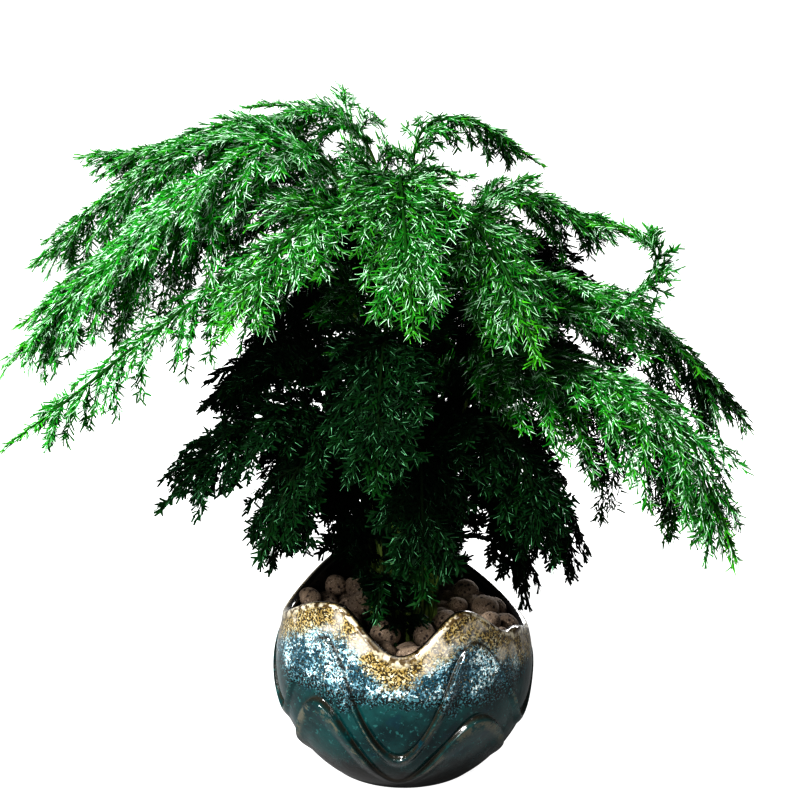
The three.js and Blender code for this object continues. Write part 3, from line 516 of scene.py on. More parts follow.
class Nodes:
    """Short calls for the nodes of one tree. A socket takes a number, a colour or another node's socket."""

    def __init__(self, tree, place):
        self.tree, self.place = tree, place

    def feed(self, socket, value):
        if isinstance(value, bpy.types.NodeSocket):
            self.tree.links.new(value, socket)
        elif socket.type == "RGBA":
            socket.default_value = (*value, 1.0)
        else:
            socket.default_value = value

    def add(self, kind, settings=None, **inputs):
        """Adds a node. In an input's name, _ stands for a space."""
        made = self.tree.nodes.new(kind)
        for name, value in (settings or {}).items():
            setattr(made, name, value)
        for name, value in inputs.items():
            self.feed(made.inputs[name.replace("_", " ")], value)
        return made

    def calculate(self, operation, first, second):
        made = self.add("ShaderNodeMath", {"operation": operation})
        self.feed(made.inputs[0], first)
        self.feed(made.inputs[1], second)
        return made.outputs[0]

    def plus(self, first, second):
        return self.calculate("ADD", first, second)

    def less(self, first, second):
        return self.calculate("SUBTRACT", first, second)

    def times(self, first, second):
        return self.calculate("MULTIPLY", first, second)

    def between(self, share, low, high):
        """A value from low to high by a share."""
        return self.plus(low, self.times(share, high - low))

    def eased(self, value, low, high):
        """A mask that goes smoothly from 0 at low to 1 at high."""
        kind = {"interpolation_type": "SMOOTHSTEP"}
        made = self.add("ShaderNodeMapRange", kind, Value=value, From_Min=low, From_Max=high)
        return made.outputs["Result"]

    def strayed(self, value, *strays):
        """A value that wanders by each noise and its reach."""
        for wave, reach in strays:
            value = self.plus(value, self.times(self.less(wave, 0.5), reach))
        return value

    def blended(self, share, first, second):
        """One colour into another."""
        made = self.add("ShaderNodeMix", {"data_type": "RGBA"})
        for socket, value in zip((made.inputs[0], made.inputs[6], made.inputs[7]), (share, first, second)):
            self.feed(socket, value)
        return made.outputs[2]

    def layered(self, body, *coats):
        """A colour with others laid over it in turn, each by its share."""
        for share, tone in coats:
            body = self.blended(share, body, tone)
        return body

    def noise(self, scale, detail, roughness=0.5):
        values = {"Scale": scale, "Detail": detail, "Roughness": roughness}
        return self.add("ShaderNodeTexNoise", Vector=self.place, **values).outputs["Fac"]

    def mark(self, name):
        return self.add("ShaderNodeAttribute", {"attribute_name": name}).outputs["Fac"]

    def grouped(self, group, **inputs):
        """The one output of a node group laid out over this tree's place."""
        return self.add("ShaderNodeGroup", {"node_tree": group}, Place=self.place, **inputs).outputs[0]

    def flecks(self, scale, share, softness=0.05):
        return self.grouped(FLECKS, Scale=scale, Share=share, Softness=softness)

    def speckled(self, scale, share, first, second, softness=0.05):
        """One colour with flecks of another."""
        return self.blended(self.flecks(scale, share, softness), first, second)

    def relief(self, scale, fine_share, depth):
        return self.grouped(RELIEF, Scale=scale, Fine_share=fine_share, Depth=depth)


class Finish(Nodes):
    """A material with one Principled shader, its colour built up in coats."""

    def __init__(self, name, roughness, **shader_values):
        self.material = bpy.data.materials.new(name)
        self.material.use_nodes = True
        tree = self.material.node_tree
        super().__init__(tree, tree.nodes.new("ShaderNodeTexCoord").outputs["Object"])
        self.set_shader(Roughness=roughness, **shader_values)
        self.body = None

    def set_shader(self, **values):
        shader = self.tree.nodes["Principled BSDF"]
        for label, value in values.items():
            self.feed(shader.inputs[label.replace("_", " ")], value)

    def coat(self, share, tone):
        """Lays a colour over the body by its share."""
        self.body = self.blended(share, self.body, tone)

    def finished(self, **values):
        self.set_shader(Base_Color=self.body, **values)
        return self.material


def new_group(name, inputs, output, kind):
    """A node group laid out over a place, with number inputs and one output: its nodes and its sockets."""
    group = bpy.data.node_groups.new(name, "ShaderNodeTree")
    group.interface.new_socket("Place", in_out="INPUT", socket_type="NodeSocketVector")
    for label in inputs:
        group.interface.new_socket(label, in_out="INPUT", socket_type="NodeSocketFloat")
    group.interface.new_socket(output, in_out="OUTPUT", socket_type=kind)
    given = group.nodes.new("NodeGroupInput").outputs
    return Nodes(group, given["Place"]), given, group.nodes.new("NodeGroupOutput").inputs[output]


def fleck_group():
    """Flecks: a mask of small spots, by how many lie on a metre, their share of the surface and softness."""
    nodes, given, mask = new_group("flecks", ["Scale", "Share", "Softness"], "Mask", "NodeSocketFloat")
    level = nodes.less(FLECK_LEVEL, nodes.times(given["Share"], FLECK_RANGE))
    grain = nodes.noise(given["Scale"], 2.0, 0.6)
    nodes.feed(mask, nodes.eased(grain, level, nodes.plus(level, given["Softness"])))
    return nodes.tree


def relief_group():
    """Relief: a normal from noise of one size laid over noise of a finer one."""
    nodes, given, normal = new_group("relief", ["Scale", "Fine share", "Depth"], "Normal", "NodeSocketVector")
    fine = nodes.noise(nodes.times(given["Scale"], RELIEF_FINER), 4.0)
    height = nodes.plus(nodes.noise(given["Scale"], 3.0), nodes.times(fine, given["Fine share"]))
    bump = nodes.add("ShaderNodeBump", Distance=given["Depth"], Height=height, Strength=1.0)
    nodes.feed(normal, bump.outputs["Normal"])
    return nodes.tree


FLECKS = fleck_group()
RELIEF = relief_group()


# Pot

def wave_height(line, azimuth):
    """The height of a waved line round the pot, eased from each crest to the next trough."""
    turns = np.array([turn for turn, _ in line], float)
    heights = np.array([height for _, height in line], float)
    after = np.searchsorted(turns, azimuth, side="right") % len(line)
    before = (after - 1) % len(line)
    width = (turns[after] - turns[before]) % 360
    share = ((azimuth - turns[before]) % 360) / width
    return mix(heights[before], heights[after], (1 - np.cos(np.pi * share)) / 2)


def body_radius(height):
    height = np.asarray(height, float)
    below_neck = np.minimum(height, NECK_HEIGHT)
    radius = np.sqrt(BODY_RADIUS ** 2 - (below_neck - BODY_CENTRE) ** 2)
    return radius - NECK_LEAN * np.maximum(0, height - NECK_HEIGHT)


class Ridge:
    """One waved ridge: how far the wall stands out at a height, and where its crease and shoulder are."""

    def __init__(self, line, floor, ceiling, azimuth):
        self.line = line
        self.below = np.minimum(1, SHOULDER_ROOM * (line - floor) / SHOULDER)
        self.above = np.minimum(1, EASE_ROOM * (ceiling - line) / EASE)
        turn = np.radians(azimuth) * RIDGE_WANDERS["waves"] + line * RIDGE_WANDERS["slope"]
        wander = RIDGE_WANDERS["mean"] + RIDGE_WANDERS["most"] * np.sin(turn)
        self.proud = np.minimum(1, self.below + SQUEEZED_RISE) * wander

    def landmarks(self):
        return [
            self.line - SHOULDER * self.below,
            self.line,
            self.line + CREASE_OFFSET * self.above,
            self.line + EASE * self.above,
        ]

    def offset(self, height):
        """The height above the ridge line, in the widths of a ridge with room round it."""
        away = height - self.line
        return np.where(away < 0, away / self.below, away / self.above)

    def stands_out(self, height):
        away = self.offset(height)
        rising = np.clip((away + SHOULDER) / SHOULDER, 0, 1)
        shoulder = RIDGE_RISE * np.sin(np.pi / 2 * rising) ** RIDGE_ROUNDING
        drop = smooth(away, 0, CREASE_OFFSET)
        crease = mix(RIDGE_RISE, -CREASE_DEPTH, drop)
        easing = np.clip((away - CREASE_OFFSET) / (EASE - CREASE_OFFSET), 0, 1)
        crease = np.where(away > CREASE_OFFSET, -CREASE_DEPTH * (1 - easing) ** 2, crease)
        return self.proud * np.where(away < 0, shoulder, crease)

    def crease_mark(self, height):
        away = (self.offset(height) - CREASE_MARK["middle"]) / CREASE_MARK["width"]
        return np.exp(-(away ** 2))

    def shoulder_mark(self, height):
        away = self.offset(height)
        return smooth(away, *SHOULDER_MARK["from"]) * (1 - smooth(away, *SHOULDER_MARK["until"]))


def rows_between(heights, counts):
    """Rows of heights from each landmark to the next."""
    rows = []
    for low, high, count in zip(heights[:-1], heights[1:], counts):
        rows += [mix(low, high, step / count) for step in range(count)]
    return rows + [heights[-1]]


def ring_of(azimuth, radius, height):
    angle = np.radians(azimuth)
    height = np.broadcast_to(height, azimuth.shape).astype(float)
    return np.stack([radius * np.cos(angle), radius * np.sin(angle), height], 1)


def make_pot(material):
    azimuth = np.arange(POT_SIDES) * 360 / POT_SIDES
    rim = wave_height(RIM, azimuth)
    upper_line = wave_height(UPPER_RIDGE, azimuth)
    lower_line = wave_height(LOWER_RIDGE, azimuth)
    belly = mix(FOOT_ROUND["height"], lower_line, BELLY_SHARE)
    waist = mix(lower_line, upper_line, WAIST_SHARE)
    lip_start = rim - LIP_ROUND
    lower = Ridge(lower_line, belly, upper_line, azimuth)
    upper = Ridge(upper_line, waist, lip_start, azimuth)
    foot = np.full(POT_SIDES, float(FOOT_ROUND["height"]))
    landmarks = [foot, belly, *lower.landmarks(), *upper.landmarks(), lip_start]
    counts = [BELLY_ROWS, BELOW_LOWER_RIDGE, *RIDGE_ROWS, BELOW_UPPER_RIDGE, *RIDGE_ROWS, NECK_ROWS]
    rings, marks = [], {"below_rim": [], "crease": [], "shoulder": [], "inside": [], "lip": []}

    def add_ring(radius, height, **values):
        rings.append(ring_of(azimuth, radius, height))
        values["below_rim"] = rim - height
        for mark, rows in marks.items():
            rows.append(np.broadcast_to(values.get(mark, 0.0), azimuth.shape))

    add_ring(FOOT_RADIUS, 0.0)
    add_ring(mix(FOOT_RADIUS, FOOT_ROUND["radius"], FOOT_EDGE["out"]), FOOT_EDGE["up"])
    for height in rows_between(landmarks, counts):
        radius = body_radius(height) + lower.stands_out(height) + upper.stands_out(height)
        crease = np.maximum(lower.crease_mark(height), upper.crease_mark(height))
        shoulder = np.maximum(lower.shoulder_mark(height), upper.shoulder_mark(height))
        lip = smooth(height, lip_start - LIP_MARK_HEIGHT, lip_start)
        add_ring(radius, height, crease=crease, shoulder=shoulder, lip=lip)
    outer = body_radius(rim)
    for across in np.arange(1, LIP_STEPS) / LIP_STEPS:
        turn = math.pi * across
        radius = outer - WALL / 2 + WALL / 2 * math.cos(turn)
        inside, lip = smooth(across, *LIP_INSIDE_FROM), 1 - smooth(across, *LIP_UNTIL)
        add_ring(radius, rim - LIP_ROUND + LIP_ROUND * math.sin(turn), inside=inside, lip=lip)
    inner = [mix(lip_start, INNER_TOP, step / INNER_STEPS) for step in range(1, INNER_STEPS + 1)]
    for height in [*inner, *INNER_LEVELS]:
        add_ring(body_radius(height) - WALL, height, inside=1.0)
    add_ring(INNER_FLOOR_RADIUS, INNER_FLOOR, inside=1.0)
    points, triangles = turned_grid(rings)
    values = {mark: np.concatenate([*rows, [rows[0][0]], [rows[-1][0]]]) for mark, rows in marks.items()}
    new_piece("glazed_pot", points, triangles, values, material, "glaze", ["pot"])


def teal_coats(glaze, level, runs, drips, grain):
    """The dark teal below the runs, with a painted highlight on the ridges' shoulders, and nearly black at
    the foot: dark bare clay, darkened further by painted shade under the pot.
    """
    glaze.body = glaze.blended(glaze.eased(glaze.noise(60.0, 5.0, 0.6), 0.32, 0.68), DEEP_TEAL, TEAL)
    glaze.coat(glaze.flecks(420.0, 0.2, 0.1), TEAL_FLECK)
    glaze.coat(glaze.times(glaze.flecks(110.0, 0.3, 0.12), 0.4), NAVY_BLOT)
    highlight_band = glaze.eased(glaze.strayed(runs, (drips, 0.5), (grain, 0.5)), 0.42, 0.62)
    # Painted highlight: a pale band on the ridges' upward shoulders, broken up by the runs
    glaze.coat(glaze.times(glaze.times(glaze.mark("shoulder"), highlight_band), 0.75), SHOULDER_HIGHLIGHT)
    # Nearly black towards the bottom: dark bare clay, with painted shade under the pot
    foot = glaze.less(1.0, glaze.eased(level, 0.010, 0.034))
    glaze.coat(foot, FOOT_CLAY_AND_SHADE)
    return foot


def blue_run(glaze):
    """The blue-white run, speckled from nearly black to white."""
    run_tone = glaze.eased(glaze.noise(55.0, 3.0, 0.6), 0.32, 0.66)
    pale = glaze.speckled(760.0, 0.5, PALE_BLUE, BLUE_WHITE)
    deep = glaze.speckled(620.0, 0.4, DEEP_BLUE, MIDDLE_BLUE, 0.09)
    blue = glaze.speckled(480.0, run_tone, deep, pale, 0.09)
    black, rust = glaze.flecks(980.0, 0.42), glaze.flecks(840.0, 0.12)
    return glaze.layered(blue, (black, BLACK_FLECK), (rust, RUST_FLECK))


def cream_run(glaze, below_rim):
    """The cream under the rim, with ochre and brown flecks and milky patches."""
    ochre_share = glaze.between(glaze.eased(below_rim, 4.0, 14.0), 0.72, 0.42)
    milky = glaze.eased(glaze.noise(42.0, 3.0, 0.6), 0.52, 0.66)
    return glaze.layered(
        glaze.speckled(330.0, 0.5, SAND, CREAM, 0.2),
        (glaze.flecks(700.0, ochre_share, 0.1), OCHRE),
        (glaze.flecks(880.0, 0.59), DARK_BROWN),
        (glaze.times(milky, 0.36), MILK),
    )


def glaze_material():
    """A poured glaze: speckled cream and ochre under the rim, a blue-white run, then glossy dark teal."""
    glaze = Finish("poured_glaze", 0.16, Coat_Weight=0.3, Coat_Roughness=0.04, Specular_IOR_Level=0.38)
    runs, drips = glaze.noise(38.0, 3.0, 0.6), glaze.noise(150.0, 3.0, 0.6)
    grain = glaze.noise(620.0, 2.0, 0.6)
    height = glaze.add("ShaderNodeSeparateXYZ", Vector=glaze.place).outputs["Z"]
    level = glaze.strayed(height, (runs, 0.020), (drips, 0.016), (grain, 0.016))
    below_rim = glaze.strayed(glaze.mark("below_rim"), (runs, 14.0), (drips, 12.0), (grain, 9.0))
    foot = teal_coats(glaze, level, runs, drips, grain)
    glaze.coat(glaze.eased(level, 0.057, 0.062), glaze.speckled(900.0, 0.42, DARK_EDGE, DARK_EDGE_FLECK))
    glaze.coat(glaze.eased(level, 0.064, 0.070), blue_run(glaze))
    glaze.coat(glaze.less(1.0, glaze.eased(below_rim, 11.0, 20.0)), cream_run(glaze, below_rim))
    crease = glaze.times(glaze.mark("crease"), glaze.eased(drips, 0.28, 0.5))
    glaze.coat(glaze.times(crease, 0.9), CREASE_BROWN)
    glaze.coat(glaze.mark("lip"), glaze.speckled(170.0, 0.68, LIP_CREAM, LIP_BROWN, 0.12))
    glaze.coat(glaze.mark("inside"), INSIDE_DARK)
    return glaze.finished(Roughness=glaze.between(foot, 0.14, 0.44), Normal=glaze.relief(60.0, 0.25, 0.0006))


# Soil and pebbles

def make_soil(material):
    """The filling under the pebbles, with a rough mound at the crown, and crumbs on it."""
    draw = random.Random(SOIL_SEED)
    azimuth = np.arange(SOIL_SIDES) * 360 / SOIL_SIDES
    inner = float(body_radius(SOIL_INNER_LEVEL)) - WALL - 2 * GAP
    foot, top, top_height = SOIL_MOUND["radius"], SOIL_MOUND["top_radius"], SOIL_MOUND["height"]
    profile = [(INNER_FLOOR_RADIUS - GAP, INNER_FLOOR + GAP)]
    profile += [(float(body_radius(height)) - WALL - GAP, height) for height in reversed(INNER_LEVELS)]
    profile += [(mix(inner, foot, step / 10), SOIL_TOP) for step in range(11)]
    profile += [(mix(foot, top, step / 4), mix(SOIL_TOP, top_height, step / 4)) for step in range(1, 5)]
    profile += [(top * (1 - step / 12), top_height) for step in range(1, 12)]
    rings = []
    for radius, height in profile:
        ring = ring_of(azimuth, radius, height)
        if height >= SOIL_TOP and radius < inner:
            ring[:, 2] += lumps(ring, SOIL_LUMPS)
        rings.append(ring)
    ball_points, ball_triangles = unit_ball(1)
    parts = [(*turned_grid(rings), {"tint": 0.4})]
    for _ in range(CRUMB_COUNT):
        radius = CRUMB_SPREAD * math.sqrt(draw.random())
        turn = draw.uniform(0, 2 * math.pi)
        size = draw.uniform(*CRUMB_SIZE)
        place = turned(radius, turn)
        place[2] = mix(top_height, SOIL_TOP, min(1, max(0, radius - top) / CRUMB_SLOPE))
        lump = 1 + lumps(ball_points, [CRUMB_LUMP], place)
        shape = ball_points * lump[:, None] * size * (1, draw.uniform(0.6, 1), draw.uniform(0.5, 0.8))
        parts.append((shape + place, ball_triangles, {"tint": draw.random()}))
    new_piece("soil_and_crumbs", *joined(parts), material, "soil", ["potting_soil"])


def soil_material():
    soil = Finish("damp_soil", 0.95)
    soil.body = soil.blended(soil.mark("tint"), SOIL_DARK, SOIL_BROWN)
    soil.coat(soil.flecks(500.0, 0.3), SOIL_FLECK)
    return soil.finished(Normal=soil.relief(260.0, 0.6, 0.0012))


def clay_pebble(ball, half, draw, place, turn):
    """A rounded fired-clay pebble with hollows in its skin."""
    points, triangles = ball
    offset = [draw.uniform(-PEBBLE_SHIFT, PEBBLE_SHIFT) for _ in range(3)]
    swell = 1 + lumps(points, PEBBLE_SWELL, offset)
    hollow = np.zeros(len(points))
    for _ in range(draw.randint(*HOLLOW_COUNT)):
        centre = unit(np.array([draw.gauss(0, 1) for _ in range(3)]))
        width = draw.uniform(*HOLLOW_WIDTH)
        away = np.arccos(np.clip(points @ centre, -1, 1))
        hollow = np.maximum(hollow, (1 - smooth(away, width * HOLLOW_FLOOR, width)) * draw.uniform(0.5, 1))
    size = float(np.mean(half))
    shape = points * swell[:, None] * np.asarray(half) - points * (hollow * HOLLOW_DEPTH * size)[:, None]
    about_x, about_z = (np.array(Matrix.Rotation(angle, 3, axis)) for angle, axis in zip(turn, "XZ"))
    shape = shape @ (about_z @ about_x).T + place
    return shape, triangles, {"tint": draw.random(), "hollow": hollow}


def resting_height(x, y, size, placed):
    """How high a ball dropped at a place comes to rest on the pebbles already there."""
    height = BED_TOP
    for other, other_size in placed:
        apart = math.hypot(other[0] - x, other[1] - y)
        touch = FILLER_NESTLES * (size + other_size)
        if apart < touch:
            height = max(height, other[2] + math.sqrt(touch ** 2 - apart ** 2))
    return height


def make_pebbles(material):
    """The pebbles of the solid bed at the same places, and smaller ones dropped into the gaps."""
    ball = unit_ball(PEBBLE_LEVELS)
    small_ball = unit_ball(PEBBLE_LEVELS - 1)
    rule = seeded_draw(PEBBLE_SEED)
    draw = random.Random(FILLER_SEED)
    placed, parts = [], []
    for row_radius, count, row_height in PEBBLE_ROWS:
        for i in range(count):
            half = [mix(PEBBLE_HALF["least"], PEBBLE_HALF["most"], rule()) for _ in range(3)]
            turn_round = 2 * math.pi * (i + PEBBLE_STRAYS["azimuth"] * (rule() - 0.5)) / count
            radius = min(row_radius + PEBBLE_STRAYS["radius"] * (rule() - 0.5), PEBBLE_LIMIT - max(half))
            sunk = PEBBLE_SINKS * (half[2] - PEBBLE_HALF["least"])
            height = row_height + PEBBLE_STRAYS["height"] * (rule() - 0.5) - sunk
            turn = (2 * math.pi * rule(), 2 * math.pi * rule())
            place = turned(radius, turn_round, height)
            placed.append((place, float(np.mean(half))))
            half = [value * PEBBLE_FULLER for value in half]
            parts.append(clay_pebble(ball, half, draw, place, turn))
    for _ in range(FILLER_COUNT):
        size = draw.uniform(*FILLER_RADIUS)
        resting = []
        for _ in range(FILLER_TRIES):
            radius = math.sqrt(draw.uniform(FILLER_FROM ** 2, (PEBBLE_LIMIT - size) ** 2))
            x, y, _ = turned(radius, draw.uniform(0, 2 * math.pi))
            resting.append((resting_height(x, y, size, placed), x, y))
        height, x, y = min(resting)
        if height > FILLER_CEILING:
            continue
        place = np.array([x, y, height])
        placed.append((place, size))
        half = [size * draw.uniform(*share) for share in FILLER_SHAPE]
        turn = (draw.uniform(0, 2 * math.pi), draw.uniform(0, 2 * math.pi))
        parts.append(clay_pebble(small_ball, half, draw, place, turn))
    new_piece("clay_pebbles_fine", *joined(parts), material, "clay", ["clay_pebbles"])


def clay_material():
    """Fired clay: dusty brown with dark pores."""
    clay = Finish("fired_clay", 0.85)
    pores = clay.add("ShaderNodeTexVoronoi", Vector=clay.place, Scale=340.0).outputs["Distance"]
    pore = clay.times(clay.less(1.0, clay.eased(pores, 0.2, 0.42)), clay.flecks(260.0, 0.7))
    clay.body = clay.layered(
        clay.blended(clay.mark("tint"), CLAY_DARK, CLAY_BROWN),
        (clay.eased(clay.noise(90.0, 4.0), 0.42, 0.68), CLAY_DUST),
        (clay.flecks(900.0, 0.1), CLAY_PALE_FLECK),
        (clay.flecks(1100.0, 0.28), CLAY_DARK_FLECK),
        (pore, CLAY_PORE),
        (clay.times(clay.mark("hollow"), 0.9), CLAY_HOLLOW),
    )
    return clay.finished(Normal=clay.relief(330.0, 0.5, 0.0005))


# Fronds

class SmoothCurve:
    """A centripetal Catmull-Rom curve through points, read at shares of its length."""

    DIVISIONS = 200
    TANGENT_STEP = 0.0001

    def __init__(self, points):
        points = np.array(points, float)
        self.points = np.vstack([2 * points[:1] - points[1:2], points, 2 * points[-1:] - points[-2:-1]])
        table = self.raw(np.linspace(0, 1, self.DIVISIONS + 1))
        steps = np.linalg.norm(np.diff(table, axis=0), axis=1)
        self.lengths = np.concatenate([[0], np.cumsum(steps)])
        self.length = self.lengths[-1]

    def raw(self, places):
        pieces = len(self.points) - 3
        places = np.clip(places, 0, 1) * pieces
        index = np.minimum(places.astype(int), pieces - 1)
        share = (places - index)[:, None]
        p0, p1, p2, p3 = (self.points[index + k] for k in range(4))
        d0, d1, d2 = (
            np.sqrt(np.linalg.norm(after - before, axis=1, keepdims=True))
            for before, after in ((p0, p1), (p1, p2), (p2, p3))
        )
        start = ((p1 - p0) / d0 - (p2 - p0) / (d0 + d1) + (p2 - p1) / d1) * d1
        end = ((p2 - p1) / d1 - (p3 - p1) / (d1 + d2) + (p3 - p2) / d2) * d1
        bend = -3 * p1 + 3 * p2 - 2 * start - end
        twist = 2 * p1 - 2 * p2 + start + end
        return p1 + start * share + bend * share ** 2 + twist * share ** 3

    def places(self, shares):
        shares = np.clip(np.atleast_1d(shares), 0, 1)
        return np.interp(shares * self.length, self.lengths, np.linspace(0, 1, self.DIVISIONS + 1))

    def at(self, shares):
        return self.raw(self.places(shares))

    def along(self, shares):
        places = self.places(shares)
        before = self.raw(np.maximum(places - self.TANGENT_STEP, 0))
        after = self.raw(np.minimum(places + self.TANGENT_STEP, 1))
        return unit(after - before)


class Frond:
    """One leafy stem: its curve, its blade's directions and its side sprays."""

    def __init__(self, name, azimuth, root, spread, bare, pairs, swing, line):
        self.name, self.spread, self.bare, self.pairs = name, spread, bare, pairs
        outward = turned(1, math.radians(azimuth))
        self.left_of_plane = np.array([-outward[1], outward[0], 0])
        foot = turned(root[0], math.radians(root[1]))
        heights = (SOIL_TOP - STEM_BURIED, SOIL_TOP, SOIL_TOP + STRAIGHT_ABOVE_SOIL)
        points = [foot + (0, 0, height) for height in heights]
        reach = line[-1][0]
        for out, up in line:
            points.append(outward * out + self.left_of_plane * (swing * (out / reach) ** 2) + (0, 0, up))
        self.curve = SmoothCurve(points)
        self.sprays = []

    def frame(self, shares):
        """The directions along the stem, to its left, and up out of its blade."""
        along = self.curve.along(shares)
        left = self.left_of_plane - along * (along @ self.left_of_plane)[:, None]
        left = unit(left)
        return along, left, np.cross(along, left)

    def blade_end(self):
        return 1 - TERMINAL_LENGTH / self.curve.length

    def station(self, pair):
        share = (pair / (self.pairs - LAST_PAIR_SHORT)) ** CLOSER_OUTWARD
        return mix(self.bare, self.blade_end(), share)

    def spray_length(self, pair, draw_share):
        across = pair / self.pairs
        growing = mix(LOWEST_SPREAD, 1, float(smooth(across, 0, WIDEST_AT)))
        length = self.spread * growing * (1 - SPREAD_LOST * across ** SPREAD_FALL) * draw_share
        return max(length, min(SHORTEST_SPRAY, self.spread))


class Spray:
    """A side spray: straight out of its stem at an angle, then drooping."""

    def __init__(self, frond, station, side, angle, tilt, length, droop, bends=()):
        self.start = frond.curve.at(station)[0]
        self.along, self.left, self.above = (part[0] for part in frond.frame(station))
        self.station, self.side, self.angle, self.tilt = station, side, angle, tilt
        self.hangs = tilt < HANGS_BELOW
        self.upper_side = unit(self.left * side + self.along) if self.hangs else self.above
        self.length, self.droop, self.bends = length, droop, bends
        self.aim(0)

    def aim(self, bend):
        angle, tilt = math.radians(self.angle), math.radians(self.tilt + bend)
        direction = (
            self.along * math.cos(angle)
            + self.left * (self.side * math.sin(angle) * math.cos(tilt))
            + self.above * (math.sin(angle) * math.sin(tilt))
        )
        self.direction = unit(direction)

    def at(self, shares):
        reach = self.length * np.atleast_1d(shares)[:, None]
        drop = np.array([0, 0, -self.droop]) * reach * np.atleast_1d(shares)[:, None]
        return self.start + self.direction * reach + drop

    def tangents(self, shares):
        shares = np.atleast_1d(shares)
        return unit(self.at(shares + 0.01) - self.at(shares - 0.01))

    def samples(self):
        return self.at(np.linspace(0, 1, math.ceil(self.length / SAMPLE_STEP) + 1))


def sides_of_pair(pair, always_hanging=False):
    """Side, tilt, stray, length share and bends of a pair's sprays, and in some pairs of one that hangs."""
    rows = [(1, 0, TILT_VARIES, 1, SPRAY_BENDS), (-1, 0, TILT_VARIES, 1, SPRAY_BENDS)]
    if always_hanging or pair % HANGING_EVERY == 0:
        side = 1 if pair % (2 * HANGING_EVERY) == 0 else -1
        rows.append((side, HANGING_TILT, HANGING_VARIES, HANGING_SHARE, HANGING_BENDS))
    return rows


def planned_fronds():
    """Every frond with its planned sprays, by the same draws as the solid fronds."""
    draw = seeded_draw(FROND_SEED)
    fronds = [Frond(*row) for row in FRONDS]
    for frond in fronds:
        for pair in range(frond.pairs):
            for side, lean, varies, share, bends in sides_of_pair(pair):
                angle = mix(ANGLE_LOW, ANGLE_HIGH, pair / frond.pairs) + ANGLE_VARIES * (2 * draw() - 1)
                tilt = lean + varies * (2 * draw() - 1)
                length = frond.spray_length(pair, share * mix(LENGTH_LEAST, LENGTH_MOST, draw()))
                droop = mix(DROOP_LEAST, DROOP_MOST, draw())
                spray = Spray(frond, frond.station(pair), side, angle, tilt, length, droop, bends)
                frond.sprays.append(spray)
    return fronds


def settle_sprays(fronds):
    """Bends or shortens each spray until it is clear of the stems and other sprays, or leaves it out."""
    counts = [math.ceil(frond.curve.length / SAMPLE_STEP) + 1 for frond in fronds]
    taken = np.vstack([frond.curve.at(np.linspace(0, 1, count)) for frond, count in zip(fronds, counts)])

    def clear(points):
        low, high = points.min(axis=0) - SPRAY_CLEARANCE, points.max(axis=0) + SPRAY_CLEARANCE
        near = taken[((taken > low) & (taken < high)).all(axis=1)]
        apart = np.linalg.norm(near[:, None] - points[None], axis=2)
        return apart.size == 0 or apart.min() >= SPRAY_CLEARANCE

    def fits(spray, full_length):
        for share in SPRAY_LENGTHS:
            for bend in spray.bends:
                spray.aim(bend)
                spray.length = max(full_length * share, min(SHORTEST_SPRAY, full_length))
                if clear(spray.samples()[STEM_SAMPLES:]):
                    return True
        return False

    for frond in fronds:
        kept = []
        for spray in frond.sprays:
            if fits(spray, spray.length):
                kept.append(spray)
                taken = np.vstack([taken, spray.samples()])
        frond.sprays = kept


def between_sprays(frond, draw):
    """Finer sprays on the stem between the solid ones, a few before them, and more towards its tip."""
    sprays = []
    fullness = FULLNESS.get(frond.name, 1)
    between = MORE_SPRAYS.get(frond.name, BETWEEN_SPRAYS)
    hanging = BETWEEN_HANGING_SHARE * HANGING_OF.get(frond.name, 1)
    gap = 1 / (between + 1)
    places = [(-gap * step, EARLY_SHARE) for step in range(EARLY_SPRAYS, 0, -1)]
    places += [(pair + gap * step, 1) for pair in range(frond.pairs) for step in range(1, between + 1)]
    for number, (place, full) in enumerate(places):
        if place < 0:
            station = frond.bare + place * (frond.station(1) - frond.bare)
        elif place < frond.pairs - 1:
            station = frond.station(place)
        else:
            station = mix(frond.station(frond.pairs - 1), frond.blade_end(), place - (frond.pairs - 1))
        rows = sides_of_pair(number, always_hanging=True)
        standing_until, standing_share, standing_tilt = STANDING_FRONDS.get(frond.name, (-1, 0, 0))
        if place < standing_until:
            rows += [(side, standing_tilt, 0, standing_share, ()) for side in (1, -1)]
        for side, lean, _, share, _ in rows:
            shift = draw.uniform(-BETWEEN_STRAY, BETWEEN_STRAY) * gap / frond.pairs * (1 - frond.bare)
            angle = mix(ANGLE_LOW, ANGLE_HIGH, max(0, place) / frond.pairs) + draw.uniform(*BETWEEN_ANGLE)
            tilt = lean + draw.uniform(-BETWEEN_TILT, BETWEEN_TILT)
            if lean < 0:
                share = hanging * mix(1, HANGING_AT_TIP, max(0, place) / frond.pairs)
            share = share * full * fullness * draw.uniform(*BETWEEN_SHARE)
            length = frond.spray_length(min(max(0, place), frond.pairs - LAST_LENGTH_AT), share)
            droop = draw.uniform(DROOP_LEAST, DROOP_MOST)
            sprays.append(Spray(frond, station + shift, side, angle, tilt, length, droop))
    return sprays


def tube(centres, alongs, ups, radii, sides, **marks):
    """A tapered tube along points, closed at both ends."""
    across = unit(np.cross(ups, alongs))
    above = np.cross(alongs, across)
    turns = 2 * np.pi * np.arange(sides) / sides
    ring = across[:, None] * np.cos(turns)[None, :, None] + above[:, None] * np.sin(turns)[None, :, None]
    points = centres[:, None] + ring * np.asarray(radii)[:, None, None]
    count = len(centres)
    index = np.arange(sides)
    after = (index + 1) % sides
    triangles = []
    for row in range(count - 1):
        low, high = row * sides, (row + 1) * sides
        triangles.append(np.stack([low + index, low + after, high + after], 1))
        triangles.append(np.stack([low + index, high + after, high + index], 1))
    fan = index[1:-1]
    last = (count - 1) * sides
    triangles.append(np.stack([np.zeros_like(fan), after[1:-1], fan], 1))
    triangles.append(np.stack([np.full_like(fan, last), last + fan, last + after[1:-1]], 1))
    return points.reshape(-1, 3), np.vstack(triangles), marks


